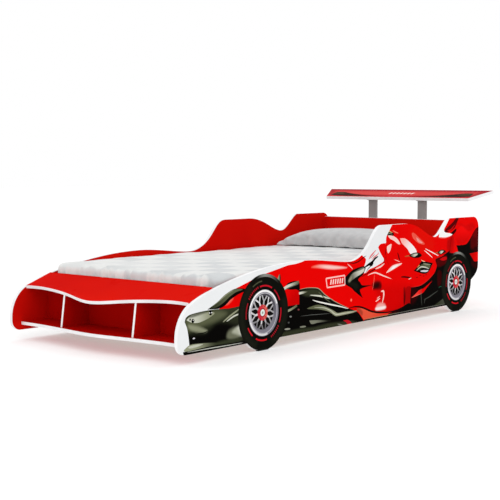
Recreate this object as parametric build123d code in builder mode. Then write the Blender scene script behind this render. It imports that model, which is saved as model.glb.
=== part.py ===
"""A child's single bed shaped like a racing car, with a shelf in its nose and a wing at its head.

Frame: +X the right-hand side, +Y the head end, +Z up. The origin is on the floor below the middle.
Lengths are in millimetres.
"""

from build123d import *
import math
import os

os.makedirs("parts", exist_ok=True)

# Driving dimensions
BOARD = 15.0  # coated board of the side panels, headboard, footboard, rail and wing
SHELF_BOARD = 12.0  # thinner coated board of the hood and bottom shelf
DIVIDER_BOARD = 9.0
EDGE = 1.0  # edge banding glued round a board
FILM = 0.5  # printed film glued on a board
INNER_X = 445.0  # half of the clear width between the side panels
OUTER_X = INNER_X + BOARD
CLEAR = 0.05  # radial clearance of fittings in their holes

MATTRESS_WIDTH = 880.0
MATTRESS_LENGTH = 1880.0
MATTRESS_HEIGHT = 150.0
MATTRESS_FRONT_Y = -905.0
COVER = 2.0

WHEEL_RADIUS = 141.0  # the wheels are round lobes of the side panels
FRONT_WHEEL_Y = -642.0
REAR_WHEEL_Y = 815.0
BELLY_Z = 38.0  # bottom edge of the side panels between the wheels
GLIDE = 4.0

SLAT_COUNT = 13
SLAT_WIDTH = 70.0
SLAT_PITCH = 147.0
SLAT_FIRST_Y = -860.0
SLAT_TOP_Z = 146.0

FOOT_REAR_Y = -909.0  # rear face of the footboard, and rear edge of the hood
SHELF_Z = 59.0  # underside of the bottom shelf
DIVIDER_X = 196.0
HOOD_TOP_Z = 257.0
HOOD_SLOPE = 19.6  # degrees, falling towards the nose

HEAD_FRONT_Y = 990.0
HEAD_TOP_Z = 428.0
HEAD_BOTTOM_Z = 182.0
RAIL_Y = 880.0  # middle of the low rail that ties the side panels together at the head end
RAIL_HEIGHT = 58.0
RAIL_MID_Z = 71.0
POST_X = 149.0
POST_WIDTH = 50.0
POST_DEPTH = 16.0
POST_WALL = 1.5
POST_BOTTOM_Z = 190.0
POST_SCREW_ZS = (230.0, 390.0)

WING_FRONT_Y = 976.7
WING_FRONT_Z = 537.3
WING_SLOPE = 15.0  # degrees, rising towards the rear
WING_DEPTH = 144.0
WING_FRONT_HALF = 427.7
WING_REAR_HALF = 492.3
PLATE = 4.0

CAM_RADIUS = 7.5
CAM_DEPTH = 12.5
SHELF_CAM_DEPTH = 9.5  # cams in the thinner boards
CAM_INSET = 34.0  # from a board's end to the middle of its cam
BOLT_RADIUS = 2.5
BOLT_HEAD_RADIUS = 3.5
POCKET_RADIUS = 4.0
DOWEL_RADIUS = 3.0
DOWEL_LENGTH = 30.0
PANEL_HOLE_DEPTH = 11.0
SCREW_RADIUS = 2.0
SCREW_HEAD_RADIUS = 4.0
SCREW_HEAD = 2.5

SIDES = (("right", 1), ("left", -1))


def save(builder, name):
    """Label a finished piece and write its STEP file."""
    builder.part.label = name
    export_step(builder.part, f"parts/{name}.step")


# Sloping planes: local x is the bed's +X, local y runs up the slope towards the head.
hood_angle = math.radians(HOOD_SLOPE)
hood_plane = Plane(
    origin=(0, FOOT_REAR_Y, HOOD_TOP_Z),
    x_dir=(1, 0, 0),
    z_dir=(0, -math.sin(hood_angle), math.cos(hood_angle)),
)
wing_angle = math.radians(WING_SLOPE)
wing_plane = Plane(
    origin=(0, WING_FRONT_Y, WING_FRONT_Z),
    x_dir=(1, 0, 0),
    z_dir=(0, -math.sin(wing_angle), math.cos(wing_angle)),
)
hood_height = SHELF_BOARD / math.cos(hood_angle)  # thickness of the hood, measured upright


def under_hood(y):
    """Height of the hood's underside at a place along the bed."""
    return HOOD_TOP_Z + (y - FOOT_REAR_Y) * math.tan(hood_angle) - hood_height


def in_hood(down_slope):
    """Point (y, z) in the middle of the hood's thickness, so far down its slope."""
    point = hood_plane.from_local_coords((0, -down_slope, -SHELF_BOARD / 2))
    return (point.Y, point.Z)


# Places (y, z) where boards are joined to the side panels, in the middle of each board's thickness
head_mid_y = HEAD_FRONT_Y + BOARD / 2
foot_mid_y = FOOT_REAR_Y - BOARD / 2
shelf_mid_z = SHELF_Z + SHELF_BOARD / 2
head_bolts = [(head_mid_y, z) for z in (215.0, 385.0)]
head_dowels = [(head_mid_y, z) for z in (255.0, 345.0)]
rail_bolts = [(RAIL_Y, RAIL_MID_Z)]
rail_dowels = [(RAIL_Y, RAIL_MID_Z + lift) for lift in (-17.0, 17.0)]
foot_bolts = [(foot_mid_y, 160.0)]
foot_dowels = [(foot_mid_y, z) for z in (110.0, 205.0)]
shelf_bolts = [(y, shelf_mid_z) for y in (-955.0, -1025.0)]
shelf_dowels = [(-990.0, shelf_mid_z)]
hood_bolts = [in_hood(45.0)]
hood_dowels = [in_hood(85.0)]
all_bolts = head_bolts + rail_bolts + foot_bolts + shelf_bolts + hood_bolts
all_dowels = head_dowels + rail_dowels + foot_dowels + shelf_dowels + hood_dowels
cleat_screw_points = [
    (SLAT_FIRST_Y + SLAT_PITCH * (step + 0.5), SLAT_TOP_Z - BOARD - 15.0)
    for step in range(0, 12, 2)
]

# Planes on which the cam locks are let into each board, facing into the board
cam_x = INNER_X - CAM_INSET
head_cams = [
    Plane(origin=(side * cam_x, HEAD_FRONT_Y + BOARD, z), x_dir=(1, 0, 0), z_dir=(0, -1, 0))
    for _, side in SIDES
    for _, z in head_bolts
]
rail_cams = [
    Plane(origin=(side * cam_x, RAIL_Y + BOARD / 2, RAIL_MID_Z), x_dir=(1, 0, 0), z_dir=(0, -1, 0))
    for _, side in SIDES
]
foot_cams = [
    Plane(origin=(side * cam_x, FOOT_REAR_Y, z), x_dir=(1, 0, 0), z_dir=(0, -1, 0))
    for _, side in SIDES
    for _, z in foot_bolts
]
shelf_cams = [
    Plane(origin=(side * cam_x, y, SHELF_Z), x_dir=(1, 0, 0), z_dir=(0, 0, 1))
    for _, side in SIDES
    for y, _ in shelf_bolts
]
hood_cams = [
    Plane(
        origin=hood_plane.from_local_coords((side * cam_x, -45.0, -SHELF_BOARD)),
        x_dir=(1, 0, 0),
        z_dir=hood_plane.z_dir,
    )
    for _, side in SIDES
]


def drill_ends(bolts, dowels):
    """Cut a board's end holes for its bolts and dowels, at both sides of the bed."""
    for _, side in SIDES:
        with BuildSketch(Plane.YZ.offset(side * INNER_X)) as bolt_holes:
            with Locations(*bolts):
                Circle(POCKET_RADIUS + CLEAR)
        extrude(bolt_holes.sketch, amount=-side * (CAM_INSET - 3), mode=Mode.SUBTRACT)
        with BuildSketch(Plane.YZ.offset(side * INNER_X)) as dowel_holes:
            with Locations(*dowels):
                Circle(DOWEL_RADIUS + CLEAR)
        depth = DOWEL_LENGTH - PANEL_HOLE_DEPTH
        extrude(dowel_holes.sketch, amount=-side * depth, mode=Mode.SUBTRACT)


def let_in_cams(planes, depth=CAM_DEPTH):
    """Cut the round recesses for a board's cam locks."""
    for plane in planes:
        with BuildSketch(plane) as recess:
            Circle(CAM_RADIUS + CLEAR)
        extrude(recess.sketch, amount=depth, mode=Mode.SUBTRACT)


# Side panels: the outline of a racing car, drawn in (y, z), with round wheel lobes
def inset_curve(start, inset, *points):
    """Bezier curve through control points, moved to its right by a distance, from a given start."""
    curve = Bezier(*points, mode=Mode.PRIVATE)
    steps = 12
    moved = [start]
    for step in range(1, steps + 1):
        along = curve % (step / steps)
        moved.append(curve @ (step / steps) + Vector(along.Y, -along.X) * inset)
    return Spline(*moved, tangents=(curve % 0, curve % 1))


def car_outline(inset):
    """Outline of a side panel, moved inwards by a distance."""
    nose_turn = 50.0  # degrees of arc round the nose
    nose_radius = 135.0
    nose_middle = Vector(-967, 92)
    chin_middle = Vector(nose_middle.X - nose_radius + 40, BELLY_Z + 40)
    nose_end = nose_middle + Vector(-nose_radius, 0).rotate(Axis.Z, -nose_turn)
    belly_z = BELLY_Z + inset
    wheel_back = REAR_WHEEL_Y + WHEEL_RADIUS - 1
    tail_y = 1026
    tail_radius = 54
    with BuildSketch() as outline:
        with BuildLine():
            chin = CenterArc(chin_middle, 40 - inset, 270, -90)
            nose = CenterArc(nose_middle, nose_radius - inset, 180, -nose_turn)
            Line(chin @ 1, nose @ 0)
            bonnet = inset_curve(
                nose @ 1, inset, nose_end, (-1034, 212.1), (-992, 228.5), (-949, 241.5)
            )
            arch = inset_curve(
                bonnet @ 1, inset, (-949, 241.5), (-790, 289.5), (-600, 320.5), (-404, 320.5)
            )
            waist = inset_curve(
                arch @ 1, inset, (-404, 320.5), (-290, 320.5), (-165, 296.5), (-81, 296.5)
            )
            screen = inset_curve(waist @ 1, inset, (-81, 296.5), (-35, 296.5), (15, 317.8), (55, 355))
            airbox = inset_curve(screen @ 1, inset, (55, 355), (95, 392.2), (113, 437), (165, 437))
            roof = Line(airbox @ 1, (345, 437 - inset))
            engine = inset_curve(roof @ 1, inset, (345, 437), (468, 437), (535, 367.5), (605, 367.5))
            tail = inset_curve(engine @ 1, inset, (605, 367.5), (655, 367.5), (705, 449), (742, 449))
            Line(tail @ 1, (tail_y - tail_radius, 449 - inset))
            CenterArc((tail_y - tail_radius, 449 - tail_radius), tail_radius - inset, 90, -90)
            back = Line((tail_y - inset, 449 - tail_radius), (tail_y - inset, 215))
            under_tail = inset_curve(
                back @ 1, inset, (tail_y, 215), (tail_y, 175), (990, 160), (wheel_back, WHEEL_RADIUS)
            )
            Polyline(under_tail @ 1, (REAR_WHEEL_Y, belly_z), chin @ 0)
        make_face()
        with Locations((FRONT_WHEEL_Y, WHEEL_RADIUS), (REAR_WHEEL_Y, WHEEL_RADIUS)):
            Circle(WHEEL_RADIUS - inset)
        flat = GLIDE + inset
        with Locations((FRONT_WHEEL_Y, flat / 2), (REAR_WHEEL_Y, flat / 2)):
            Rectangle(WHEEL_RADIUS, flat, mode=Mode.SUBTRACT)
    return outline.sketch


side_whole = car_outline(0)
side_core = car_outline(EDGE)

for side_name, side in SIDES:
    start_x = INNER_X if side > 0 else -OUTER_X
    with BuildPart() as side_panel:
        with BuildSketch(Plane.YZ.offset(start_x)):
            add(side_core)
        extrude(amount=BOARD)
        with BuildSketch(Plane.YZ.offset(side * INNER_X)):
            with Locations(*all_bolts):
                Circle(BOLT_RADIUS + CLEAR)
        extrude(amount=side * PANEL_HOLE_DEPTH, mode=Mode.SUBTRACT)
        with BuildSketch(Plane.YZ.offset(side * INNER_X)):
            with Locations(*all_dowels):
                Circle(DOWEL_RADIUS + CLEAR)
        extrude(amount=side * PANEL_HOLE_DEPTH, mode=Mode.SUBTRACT)
        with BuildSketch(Plane.YZ.offset(side * INNER_X)):
            with Locations(*cleat_screw_points):
                Circle(SCREW_RADIUS + CLEAR)
        extrude(amount=side * PANEL_HOLE_DEPTH, mode=Mode.SUBTRACT)
    save(side_panel, f"side_panel_{side_name}")

    with BuildPart() as side_edging:
        with BuildSketch(Plane.YZ.offset(start_x)):
            add(side_whole)
            add(side_core, mode=Mode.SUBTRACT)
        extrude(amount=BOARD)
    save(side_edging, f"side_edging_{side_name}")

    with BuildPart() as side_graphic:
        with BuildSketch(Plane.YZ.offset(side * OUTER_X)):
            add(side_whole)
        extrude(amount=side * FILM)
    save(side_graphic, f"side_graphic_{side_name}")

# Floor glides under the wheel lobes
with BuildPart() as floor_glides:
    with Locations(
        *[
            (side * (INNER_X + BOARD / 2), y, GLIDE / 2)
            for _, side in SIDES
            for y in (FRONT_WHEEL_Y, REAR_WHEEL_Y)
        ]
    ):
        Box(BOARD - 2, 60, GLIDE)
    fillet(floor_glides.edges().group_by(Axis.Z)[0], 1)
save(floor_glides, "floor_glides")


# Nose shelf: hood, bottom shelf, footboard and two dividers
def wavy_front(half_width, end_y, shoulder_y, middle_y, back):
    """Front edge (x, y) of a shelf board that bulges towards the nose, moved back by a distance."""
    return [
        (-half_width, end_y + back),
        (-264, end_y - 6 + back),
        (-132, shoulder_y + back),
        (0, middle_y + back),
        (132, shoulder_y + back),
        (264, end_y - 6 + back),
        (half_width, end_y + back),
    ]


def shelf_outline(front_points, rear_y):
    """Flat outline of a board with a curved front edge and a straight rear edge."""
    with BuildSketch() as outline:
        with BuildLine():
            front = Spline(*front_points)
            Polyline(front @ 1, (INNER_X, rear_y), (-INNER_X, rear_y), front @ 0)
        make_face()
    return outline.sketch


hood_stretch = 1 / math.cos(hood_angle)
hood_front = [
    ((-1033 - FOOT_REAR_Y) * hood_stretch),
    ((-1066 - FOOT_REAR_Y) * hood_stretch),
    ((-1093 - FOOT_REAR_Y) * hood_stretch),
]
hood_whole = shelf_outline(wavy_front(INNER_X, *hood_front, 0), BOARD)
hood_core = shelf_outline(wavy_front(INNER_X, *hood_front, EDGE), BOARD)
divider_dowels = [(side * DIVIDER_X, y) for _, side in SIDES for y in (-950.0, -1015.0)]
divider_dowel_radius = 2.5
divider_dowel_depth = 15.0  # into the divider, below the hood

with BuildPart() as hood_panel:
    with BuildSketch(hood_plane):
        add(hood_core)
    extrude(amount=-SHELF_BOARD)
    split(bisect_by=Plane.XZ.offset(-FOOT_REAR_Y), keep=Keep.TOP)
    drill_ends(hood_bolts, hood_dowels)
    let_in_cams(hood_cams, SHELF_CAM_DEPTH)
    for x, y in divider_dowels:
        with BuildSketch(Plane.XY.offset(under_hood(y) - divider_dowel_depth)):
            with Locations((x, y)):
                Circle(divider_dowel_radius + CLEAR)
        extrude(amount=divider_dowel_depth + 8, mode=Mode.SUBTRACT)
save(hood_panel, "hood_panel")

with BuildPart() as hood_edging:
    with BuildSketch(hood_plane):
        add(hood_whole)
        add(hood_core, mode=Mode.SUBTRACT)
    extrude(amount=-SHELF_BOARD)
save(hood_edging, "hood_edging")

shelf_front = (-1057, -1078, -1089.5)
shelf_rear_y = FOOT_REAR_Y - BOARD
shelf_whole = shelf_outline(wavy_front(INNER_X, *shelf_front, 0), shelf_rear_y)
shelf_core = shelf_outline(wavy_front(INNER_X, *shelf_front, EDGE), shelf_rear_y)
divider_screws = [(side * DIVIDER_X, y) for _, side in SIDES for y in (-955.0, -1030.0)]
divider_screw_length = 45.0

with BuildPart() as bottom_shelf:
    with BuildSketch(Plane.XY.offset(SHELF_Z)):
        add(shelf_core)
    extrude(amount=SHELF_BOARD)
    drill_ends(shelf_bolts, shelf_dowels)
    let_in_cams(shelf_cams, SHELF_CAM_DEPTH)
    with BuildSketch(Plane.XY.offset(SHELF_Z)):
        with Locations(*divider_screws):
            Circle(SCREW_RADIUS + CLEAR)
    extrude(amount=SHELF_BOARD, mode=Mode.SUBTRACT)
save(bottom_shelf, "bottom_shelf")

with BuildPart() as shelf_edging:
    with BuildSketch(Plane.XY.offset(SHELF_Z)):
        add(shelf_whole)
        add(shelf_core, mode=Mode.SUBTRACT)
    extrude(amount=SHELF_BOARD)
save(shelf_edging, "shelf_edging")

with BuildPart() as footboard:
    with BuildSketch(Plane.YZ.offset(-INNER_X)):
        Polygon(
            (shelf_rear_y, SHELF_Z),
            (FOOT_REAR_Y, SHELF_Z),
            (FOOT_REAR_Y, under_hood(FOOT_REAR_Y)),
            (shelf_rear_y, under_hood(shelf_rear_y)),
            align=None,
        )
    extrude(amount=2 * INNER_X)
    drill_ends(foot_bolts, foot_dowels)
    let_in_cams(foot_cams)
save(footboard, "footboard")

shelf_top_z = SHELF_Z + SHELF_BOARD
divider_foot_y = -1061.0
divider_head_y = -1043.0
for side_name, side in SIDES:
    start_x = side * DIVIDER_X - DIVIDER_BOARD / 2
    with BuildPart() as shelf_divider:
        with BuildSketch(Plane.YZ.offset(start_x)):
            Polygon(
                (divider_foot_y + EDGE, shelf_top_z),
                (shelf_rear_y, shelf_top_z),
                (shelf_rear_y, under_hood(shelf_rear_y)),
                (divider_head_y + EDGE, under_hood(divider_head_y + EDGE)),
                align=None,
            )
        extrude(amount=DIVIDER_BOARD)
        with BuildSketch(Plane.XY.offset(shelf_top_z)):
            with Locations(*divider_screws):
                Circle(SCREW_RADIUS + CLEAR)
        extrude(amount=divider_screw_length - SHELF_BOARD, mode=Mode.SUBTRACT)
        for x, y in divider_dowels:
            with BuildSketch(Plane.XY.offset(under_hood(y) - divider_dowel_depth)):
                with Locations((x, y)):
                    Circle(divider_dowel_radius + CLEAR)
            extrude(amount=2 * divider_dowel_depth, mode=Mode.SUBTRACT)
    save(shelf_divider, f"shelf_divider_{side_name}")

    with BuildPart() as divider_edging:
        with BuildSketch(Plane.YZ.offset(start_x)):
            Polygon(
                (divider_foot_y, shelf_top_z),
                (divider_foot_y + EDGE, shelf_top_z),
                (divider_head_y + EDGE, under_hood(divider_head_y + EDGE)),
                (divider_head_y, under_hood(divider_head_y)),
                align=None,
            )
        extrude(amount=DIVIDER_BOARD)
    save(divider_edging, f"divider_edging_{side_name}")

with BuildPart() as divider_screw_group:
    with BuildSketch(Plane.XY.offset(SHELF_Z)):
        with Locations(*divider_screws):
            Circle(SCREW_RADIUS)
    extrude(amount=divider_screw_length)
    with BuildSketch(Plane.XY.offset(SHELF_Z)):
        with Locations(*divider_screws):
            Circle(SCREW_HEAD_RADIUS)
    extrude(amount=-SCREW_HEAD)
save(divider_screw_group, "divider_screws")

with BuildPart() as divider_dowel_group:
    for x, y in divider_dowels:
        with BuildSketch(Plane.XY.offset(under_hood(y) - divider_dowel_depth)):
            with Locations((x, y)):
                Circle(divider_dowel_radius)
        extrude(amount=divider_dowel_depth + 7)
save(divider_dowel_group, "divider_dowels")

# Headboard and its white top edging
with BuildPart() as headboard:
    with Locations((0, head_mid_y, (HEAD_BOTTOM_Z + HEAD_TOP_Z - EDGE) / 2)):
        Box(2 * INNER_X, BOARD, HEAD_TOP_Z - EDGE - HEAD_BOTTOM_Z)
    drill_ends(head_bolts, head_dowels)
    let_in_cams(head_cams)
    with BuildSketch(Plane.XZ.offset(-HEAD_FRONT_Y - BOARD)):
        with Locations(*[(side * POST_X, z) for _, side in SIDES for z in POST_SCREW_ZS]):
            Circle(SCREW_RADIUS + CLEAR)
    extrude(amount=BOARD - 3, mode=Mode.SUBTRACT)
save(headboard, "headboard")

with BuildPart() as headboard_edging:
    with Locations((0, head_mid_y, HEAD_TOP_Z - EDGE / 2)):
        Box(2 * INNER_X, BOARD, EDGE)
save(headboard_edging, "headboard_edging")

# Low rail between the side panels, under the last slats
with BuildPart() as rear_rail:
    with Locations((0, RAIL_Y, RAIL_MID_Z)):
        Box(2 * INNER_X, BOARD, RAIL_HEIGHT)
    drill_ends(rail_bolts, rail_dowels)
    let_in_cams(rail_cams)
save(rear_rail, "rear_rail")

# Fittings between the boards and the side panels
with BuildPart() as cam_locks:
    for plane in head_cams + rail_cams + foot_cams:
        with BuildSketch(plane):
            Circle(CAM_RADIUS)
        extrude(amount=CAM_DEPTH)
    for plane in shelf_cams + hood_cams:
        with BuildSketch(plane):
            Circle(CAM_RADIUS)
        extrude(amount=SHELF_CAM_DEPTH)
    for _, side in SIDES:
        with BuildSketch(Plane.YZ.offset(side * INNER_X)):
            with Locations(*all_bolts):
                Circle(POCKET_RADIUS)
        extrude(amount=-side * (CAM_INSET + 4), mode=Mode.SUBTRACT)
save(cam_locks, "cam_locks")

with BuildPart() as cam_bolts:
    for _, side in SIDES:
        with BuildSketch(Plane.YZ.offset(side * (INNER_X + PANEL_HOLE_DEPTH))):
            with Locations(*all_bolts):
                Circle(BOLT_RADIUS)
        extrude(amount=-side * (PANEL_HOLE_DEPTH + CAM_INSET - 6))
        with BuildSketch(Plane.YZ.offset(side * (cam_x + 6))):
            with Locations(*all_bolts):
                Circle(BOLT_HEAD_RADIUS)
        extrude(amount=-side * 5)
save(cam_bolts, "cam_bolts")

with BuildPart() as dowels:
    for _, side in SIDES:
        with BuildSketch(Plane.YZ.offset(side * (INNER_X + PANEL_HOLE_DEPTH))):
            with Locations(*all_dowels):
                Circle(DOWEL_RADIUS)
        extrude(amount=-side * DOWEL_LENGTH)
save(dowels, "dowels")

# Slatted base: a cleat along each side panel, slats across, and their screws
cleat_width = 22.0
cleat_height = 30.0
cleat_x = INNER_X - cleat_width / 2
cleat_z = SLAT_TOP_Z - BOARD - cleat_height / 2
cleat_length = 1850.0
cleat_mid_y = MATTRESS_FRONT_Y + cleat_length / 2
mattress_mid_y = MATTRESS_FRONT_Y + MATTRESS_LENGTH / 2
slat_ys = [SLAT_FIRST_Y + SLAT_PITCH * step for step in range(SLAT_COUNT)]
slat_screw_length = 30.0
slat_points = [(side * cleat_x, y) for _, side in SIDES for y in slat_ys]

for side_name, side in SIDES:
    with BuildPart() as side_cleat:
        with Locations((side * cleat_x, cleat_mid_y, cleat_z)):
            Box(cleat_width, cleat_length, cleat_height)
        with BuildSketch(Plane.YZ.offset(side * INNER_X)):
            with Locations(*cleat_screw_points):
                Circle(SCREW_RADIUS + CLEAR)
        extrude(amount=-side * cleat_width, mode=Mode.SUBTRACT)
        with BuildSketch(Plane.XY.offset(SLAT_TOP_Z - BOARD)):
            with Locations(*slat_points):
                Circle(SCREW_RADIUS + CLEAR)
        extrude(amount=BOARD - slat_screw_length, mode=Mode.SUBTRACT)
    save(side_cleat, f"side_cleat_{side_name}")

    with BuildPart() as cleat_screws:
        with BuildSketch(Plane.YZ.offset(side * (INNER_X + PANEL_HOLE_DEPTH - 1))):
            with Locations(*cleat_screw_points):
                Circle(SCREW_RADIUS)
        extrude(amount=-side * (PANEL_HOLE_DEPTH - 1 + cleat_width))
        with BuildSketch(Plane.YZ.offset(side * (INNER_X - cleat_width))):
            with Locations(*cleat_screw_points):
                Circle(SCREW_HEAD_RADIUS)
        extrude(amount=-side * SCREW_HEAD)
    save(cleat_screws, f"cleat_screws_{side_name}")

for number, slat_y in enumerate(slat_ys, start=1):
    with BuildPart() as slat:
        with Locations((0, slat_y, SLAT_TOP_Z - BOARD / 2)):
            Box(MATTRESS_WIDTH, SLAT_WIDTH, BOARD)
        fillet(slat.edges().filter_by(Axis.X), 3)
        with BuildSketch(Plane.XY.offset(SLAT_TOP_Z)):
            with Locations((cleat_x, slat_y), (-cleat_x, slat_y)):
                Circle(SCREW_RADIUS + CLEAR)
        extrude(amount=-BOARD, mode=Mode.SUBTRACT)
        with BuildSketch(Plane.XY.offset(SLAT_TOP_Z)):
            with Locations((cleat_x, slat_y), (-cleat_x, slat_y)):
                Circle(SCREW_HEAD_RADIUS + CLEAR)
        extrude(amount=-SCREW_HEAD, mode=Mode.SUBTRACT)
    save(slat, f"slat_{number:02d}")

with BuildPart() as slat_screws:
    with BuildSketch(Plane.XY.offset(SLAT_TOP_Z)):
        with Locations(*slat_points):
            Circle(SCREW_RADIUS)
    extrude(amount=-slat_screw_length)
    with BuildSketch(Plane.XY.offset(SLAT_TOP_Z)):
        with Locations(*slat_points):
            Circle(SCREW_HEAD_RADIUS)
    extrude(amount=-SCREW_HEAD)
save(slat_screws, "slat_screws")

# Wing posts behind the headboard, each with a plate under the wing and a cap at its foot
post_front_y = HEAD_FRONT_Y + BOARD
post_mid_y = post_front_y + POST_DEPTH / 2
plate_under = wing_plane.offset(-BOARD - PLATE)
plate_front = 6.0
plate_length = 100.0
plate_mid = plate_front + plate_length / 2
plate_screws = [(x, y) for x in (-18.0, 18.0) for y in (plate_front + 10, plate_front + 90)]

for side_name, side in SIDES:
    with BuildPart() as wing_post:
        with BuildSketch(Plane.XY.offset(POST_BOTTOM_Z)):
            with Locations((side * POST_X, post_mid_y)):
                RectangleRounded(POST_WIDTH, POST_DEPTH, 4)
                RectangleRounded(
                    POST_WIDTH - 2 * POST_WALL,
                    POST_DEPTH - 2 * POST_WALL,
                    4 - POST_WALL,
                    mode=Mode.SUBTRACT,
                )
        extrude(amount=WING_FRONT_Z - POST_BOTTOM_Z)
        split(bisect_by=plate_under, keep=Keep.BOTTOM)
        with BuildSketch(Plane.XZ.offset(-post_front_y - POST_DEPTH)):
            with Locations(*[(side * POST_X, z) for z in POST_SCREW_ZS]):
                Circle(SCREW_RADIUS + CLEAR)
        extrude(amount=POST_DEPTH, mode=Mode.SUBTRACT)
    save(wing_post, f"wing_post_{side_name}")

    with BuildPart() as post_cap:
        with BuildSketch(Plane.XY.offset(POST_BOTTOM_Z)):
            with Locations((side * POST_X, post_mid_y)):
                RectangleRounded(POST_WIDTH, POST_DEPTH, 4)
        extrude(amount=-2)
        with BuildSketch(Plane.XY.offset(POST_BOTTOM_Z)):
            with Locations((side * POST_X, post_mid_y)):
                Rectangle(POST_WIDTH - 12, POST_DEPTH - 8)
        extrude(amount=12)
    save(post_cap, f"post_cap_{side_name}")

    with BuildPart() as wing_plate:
        with BuildSketch(plate_under):
            with Locations((side * POST_X, plate_mid)):
                RectangleRounded(POST_WIDTH, plate_length, 6)
            with Locations(*[(side * POST_X + x, y) for x, y in plate_screws]):
                Circle(SCREW_RADIUS + CLEAR, mode=Mode.SUBTRACT)
        extrude(amount=PLATE)
    save(wing_plate, f"wing_plate_{side_name}")

with BuildPart() as post_screws:
    with BuildSketch(Plane.XZ.offset(-post_front_y - POST_DEPTH)):
        with Locations(*[(side * POST_X, z) for _, side in SIDES for z in POST_SCREW_ZS]):
            Circle(SCREW_RADIUS)
    extrude(amount=POST_DEPTH + BOARD - 4)
    with BuildSketch(Plane.XZ.offset(-post_front_y - POST_DEPTH)):
        with Locations(*[(side * POST_X, z) for _, side in SIDES for z in POST_SCREW_ZS]):
            Circle(SCREW_HEAD_RADIUS)
    extrude(amount=-SCREW_HEAD)
save(post_screws, "post_screws")

# Wing: a sloping board, wider at its rear edge, with edging all round and a printed film on top
with BuildSketch() as wing_outline:
    Polygon(
        (-WING_FRONT_HALF, 0),
        (WING_FRONT_HALF, 0),
        (WING_REAR_HALF, WING_DEPTH),
        (-WING_REAR_HALF, WING_DEPTH),
        align=None,
    )
wing_core = offset(wing_outline.sketch, amount=-EDGE)
wing_screw_points = [(side * POST_X + x, y) for _, side in SIDES for x, y in plate_screws]
wing_bite = 10.0

with BuildPart() as wing_board:
    with BuildSketch(wing_plane):
        add(wing_core)
    extrude(amount=-BOARD)
    with BuildSketch(wing_plane.offset(-BOARD)):
        with Locations(*wing_screw_points):
            Circle(SCREW_RADIUS + CLEAR)
    extrude(amount=wing_bite, mode=Mode.SUBTRACT)
save(wing_board, "wing_board")

with BuildPart() as wing_edging:
    with BuildSketch(wing_plane):
        add(wing_outline.sketch)
        add(wing_core, mode=Mode.SUBTRACT)
    extrude(amount=-BOARD)
save(wing_edging, "wing_edging")

with BuildPart() as wing_graphic:
    with BuildSketch(wing_plane):
        add(wing_core)
    extrude(amount=FILM)
save(wing_graphic, "wing_graphic")

with BuildPart() as wing_screws:
    with BuildSketch(plate_under):
        with Locations(*wing_screw_points):
            Circle(SCREW_RADIUS)
    extrude(amount=PLATE + wing_bite - 1)
    with BuildSketch(plate_under):
        with Locations(*wing_screw_points):
            Circle(SCREW_HEAD_RADIUS)
    extrude(amount=-SCREW_HEAD)
save(wing_screws, "wing_screws")

# Bedding: mattress, the fitted cover over its top and sides, and a pillow
mattress_corner = 60.0
mattress_edge = 12.0
pillow_x = -75.0
pillow_front_y = 500.0
pillow_width = 660.0
pillow_length = 470.0
pillow_height = 86.0

with BuildPart() as mattress:
    with BuildSketch(Plane.XY.offset(SLAT_TOP_Z)):
        with Locations((0, mattress_mid_y)):
            RectangleRounded(
                MATTRESS_WIDTH - 2 * COVER, MATTRESS_LENGTH - 2 * COVER, mattress_corner - COVER
            )
    extrude(amount=MATTRESS_HEIGHT - COVER)
    fillet(mattress.faces().sort_by(Axis.Z)[-1].edges(), mattress_edge - COVER)
save(mattress, "mattress")

with BuildPart() as mattress_cover:
    with BuildSketch(Plane.XY.offset(SLAT_TOP_Z)):
        with Locations((0, mattress_mid_y)):
            RectangleRounded(MATTRESS_WIDTH, MATTRESS_LENGTH, mattress_corner)
    extrude(amount=MATTRESS_HEIGHT)
    fillet(mattress_cover.faces().sort_by(Axis.Z)[-1].edges(), mattress_edge)
    add(mattress.part, mode=Mode.SUBTRACT)
save(mattress_cover, "mattress_cover")

with BuildPart() as pillow:
    with BuildSketch(Plane.XY.offset(SLAT_TOP_Z + MATTRESS_HEIGHT)):
        with Locations((pillow_x, pillow_front_y + pillow_length / 2)):
            RectangleRounded(pillow_width, pillow_length, 70)
    extrude(amount=pillow_height)
    fillet(pillow.edges().group_by(Axis.Z)[-1], 40)
    fillet(pillow.edges().group_by(Axis.Z)[0], 30)
save(pillow, "pillow")
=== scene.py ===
"""Looks of the racing-car bed: materials, the printed artwork, the bedding, camera and light."""

import math

import bpy
import numpy as np
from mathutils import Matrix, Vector, noise
from mathutils.geometry import delaunay_2d_cdt


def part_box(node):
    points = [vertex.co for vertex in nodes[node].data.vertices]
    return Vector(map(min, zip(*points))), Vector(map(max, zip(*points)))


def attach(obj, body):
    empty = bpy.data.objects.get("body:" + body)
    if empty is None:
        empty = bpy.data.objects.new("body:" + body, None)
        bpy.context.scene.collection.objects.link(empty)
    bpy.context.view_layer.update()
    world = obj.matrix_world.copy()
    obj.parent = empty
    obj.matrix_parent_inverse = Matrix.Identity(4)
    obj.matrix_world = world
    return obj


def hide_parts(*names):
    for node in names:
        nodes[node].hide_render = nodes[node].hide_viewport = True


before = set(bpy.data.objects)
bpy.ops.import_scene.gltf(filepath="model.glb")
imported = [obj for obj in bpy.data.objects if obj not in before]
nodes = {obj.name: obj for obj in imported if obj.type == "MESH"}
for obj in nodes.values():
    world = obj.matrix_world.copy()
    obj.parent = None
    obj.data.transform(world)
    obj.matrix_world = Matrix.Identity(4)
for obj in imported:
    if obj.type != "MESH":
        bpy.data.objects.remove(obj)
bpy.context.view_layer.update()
MM = 0.001

# ---------------------------------------------------------------- Colours and material helpers


def linear(red, green, blue):
    """Scene-linear colour from a screen colour of 0 to 255."""
    made = []
    for value in (red, green, blue):
        share = value / 255
        made.append(share / 12.92 if share <= 0.04045 else ((share + 0.055) / 1.055) ** 2.4)
    return tuple(made)


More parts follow.
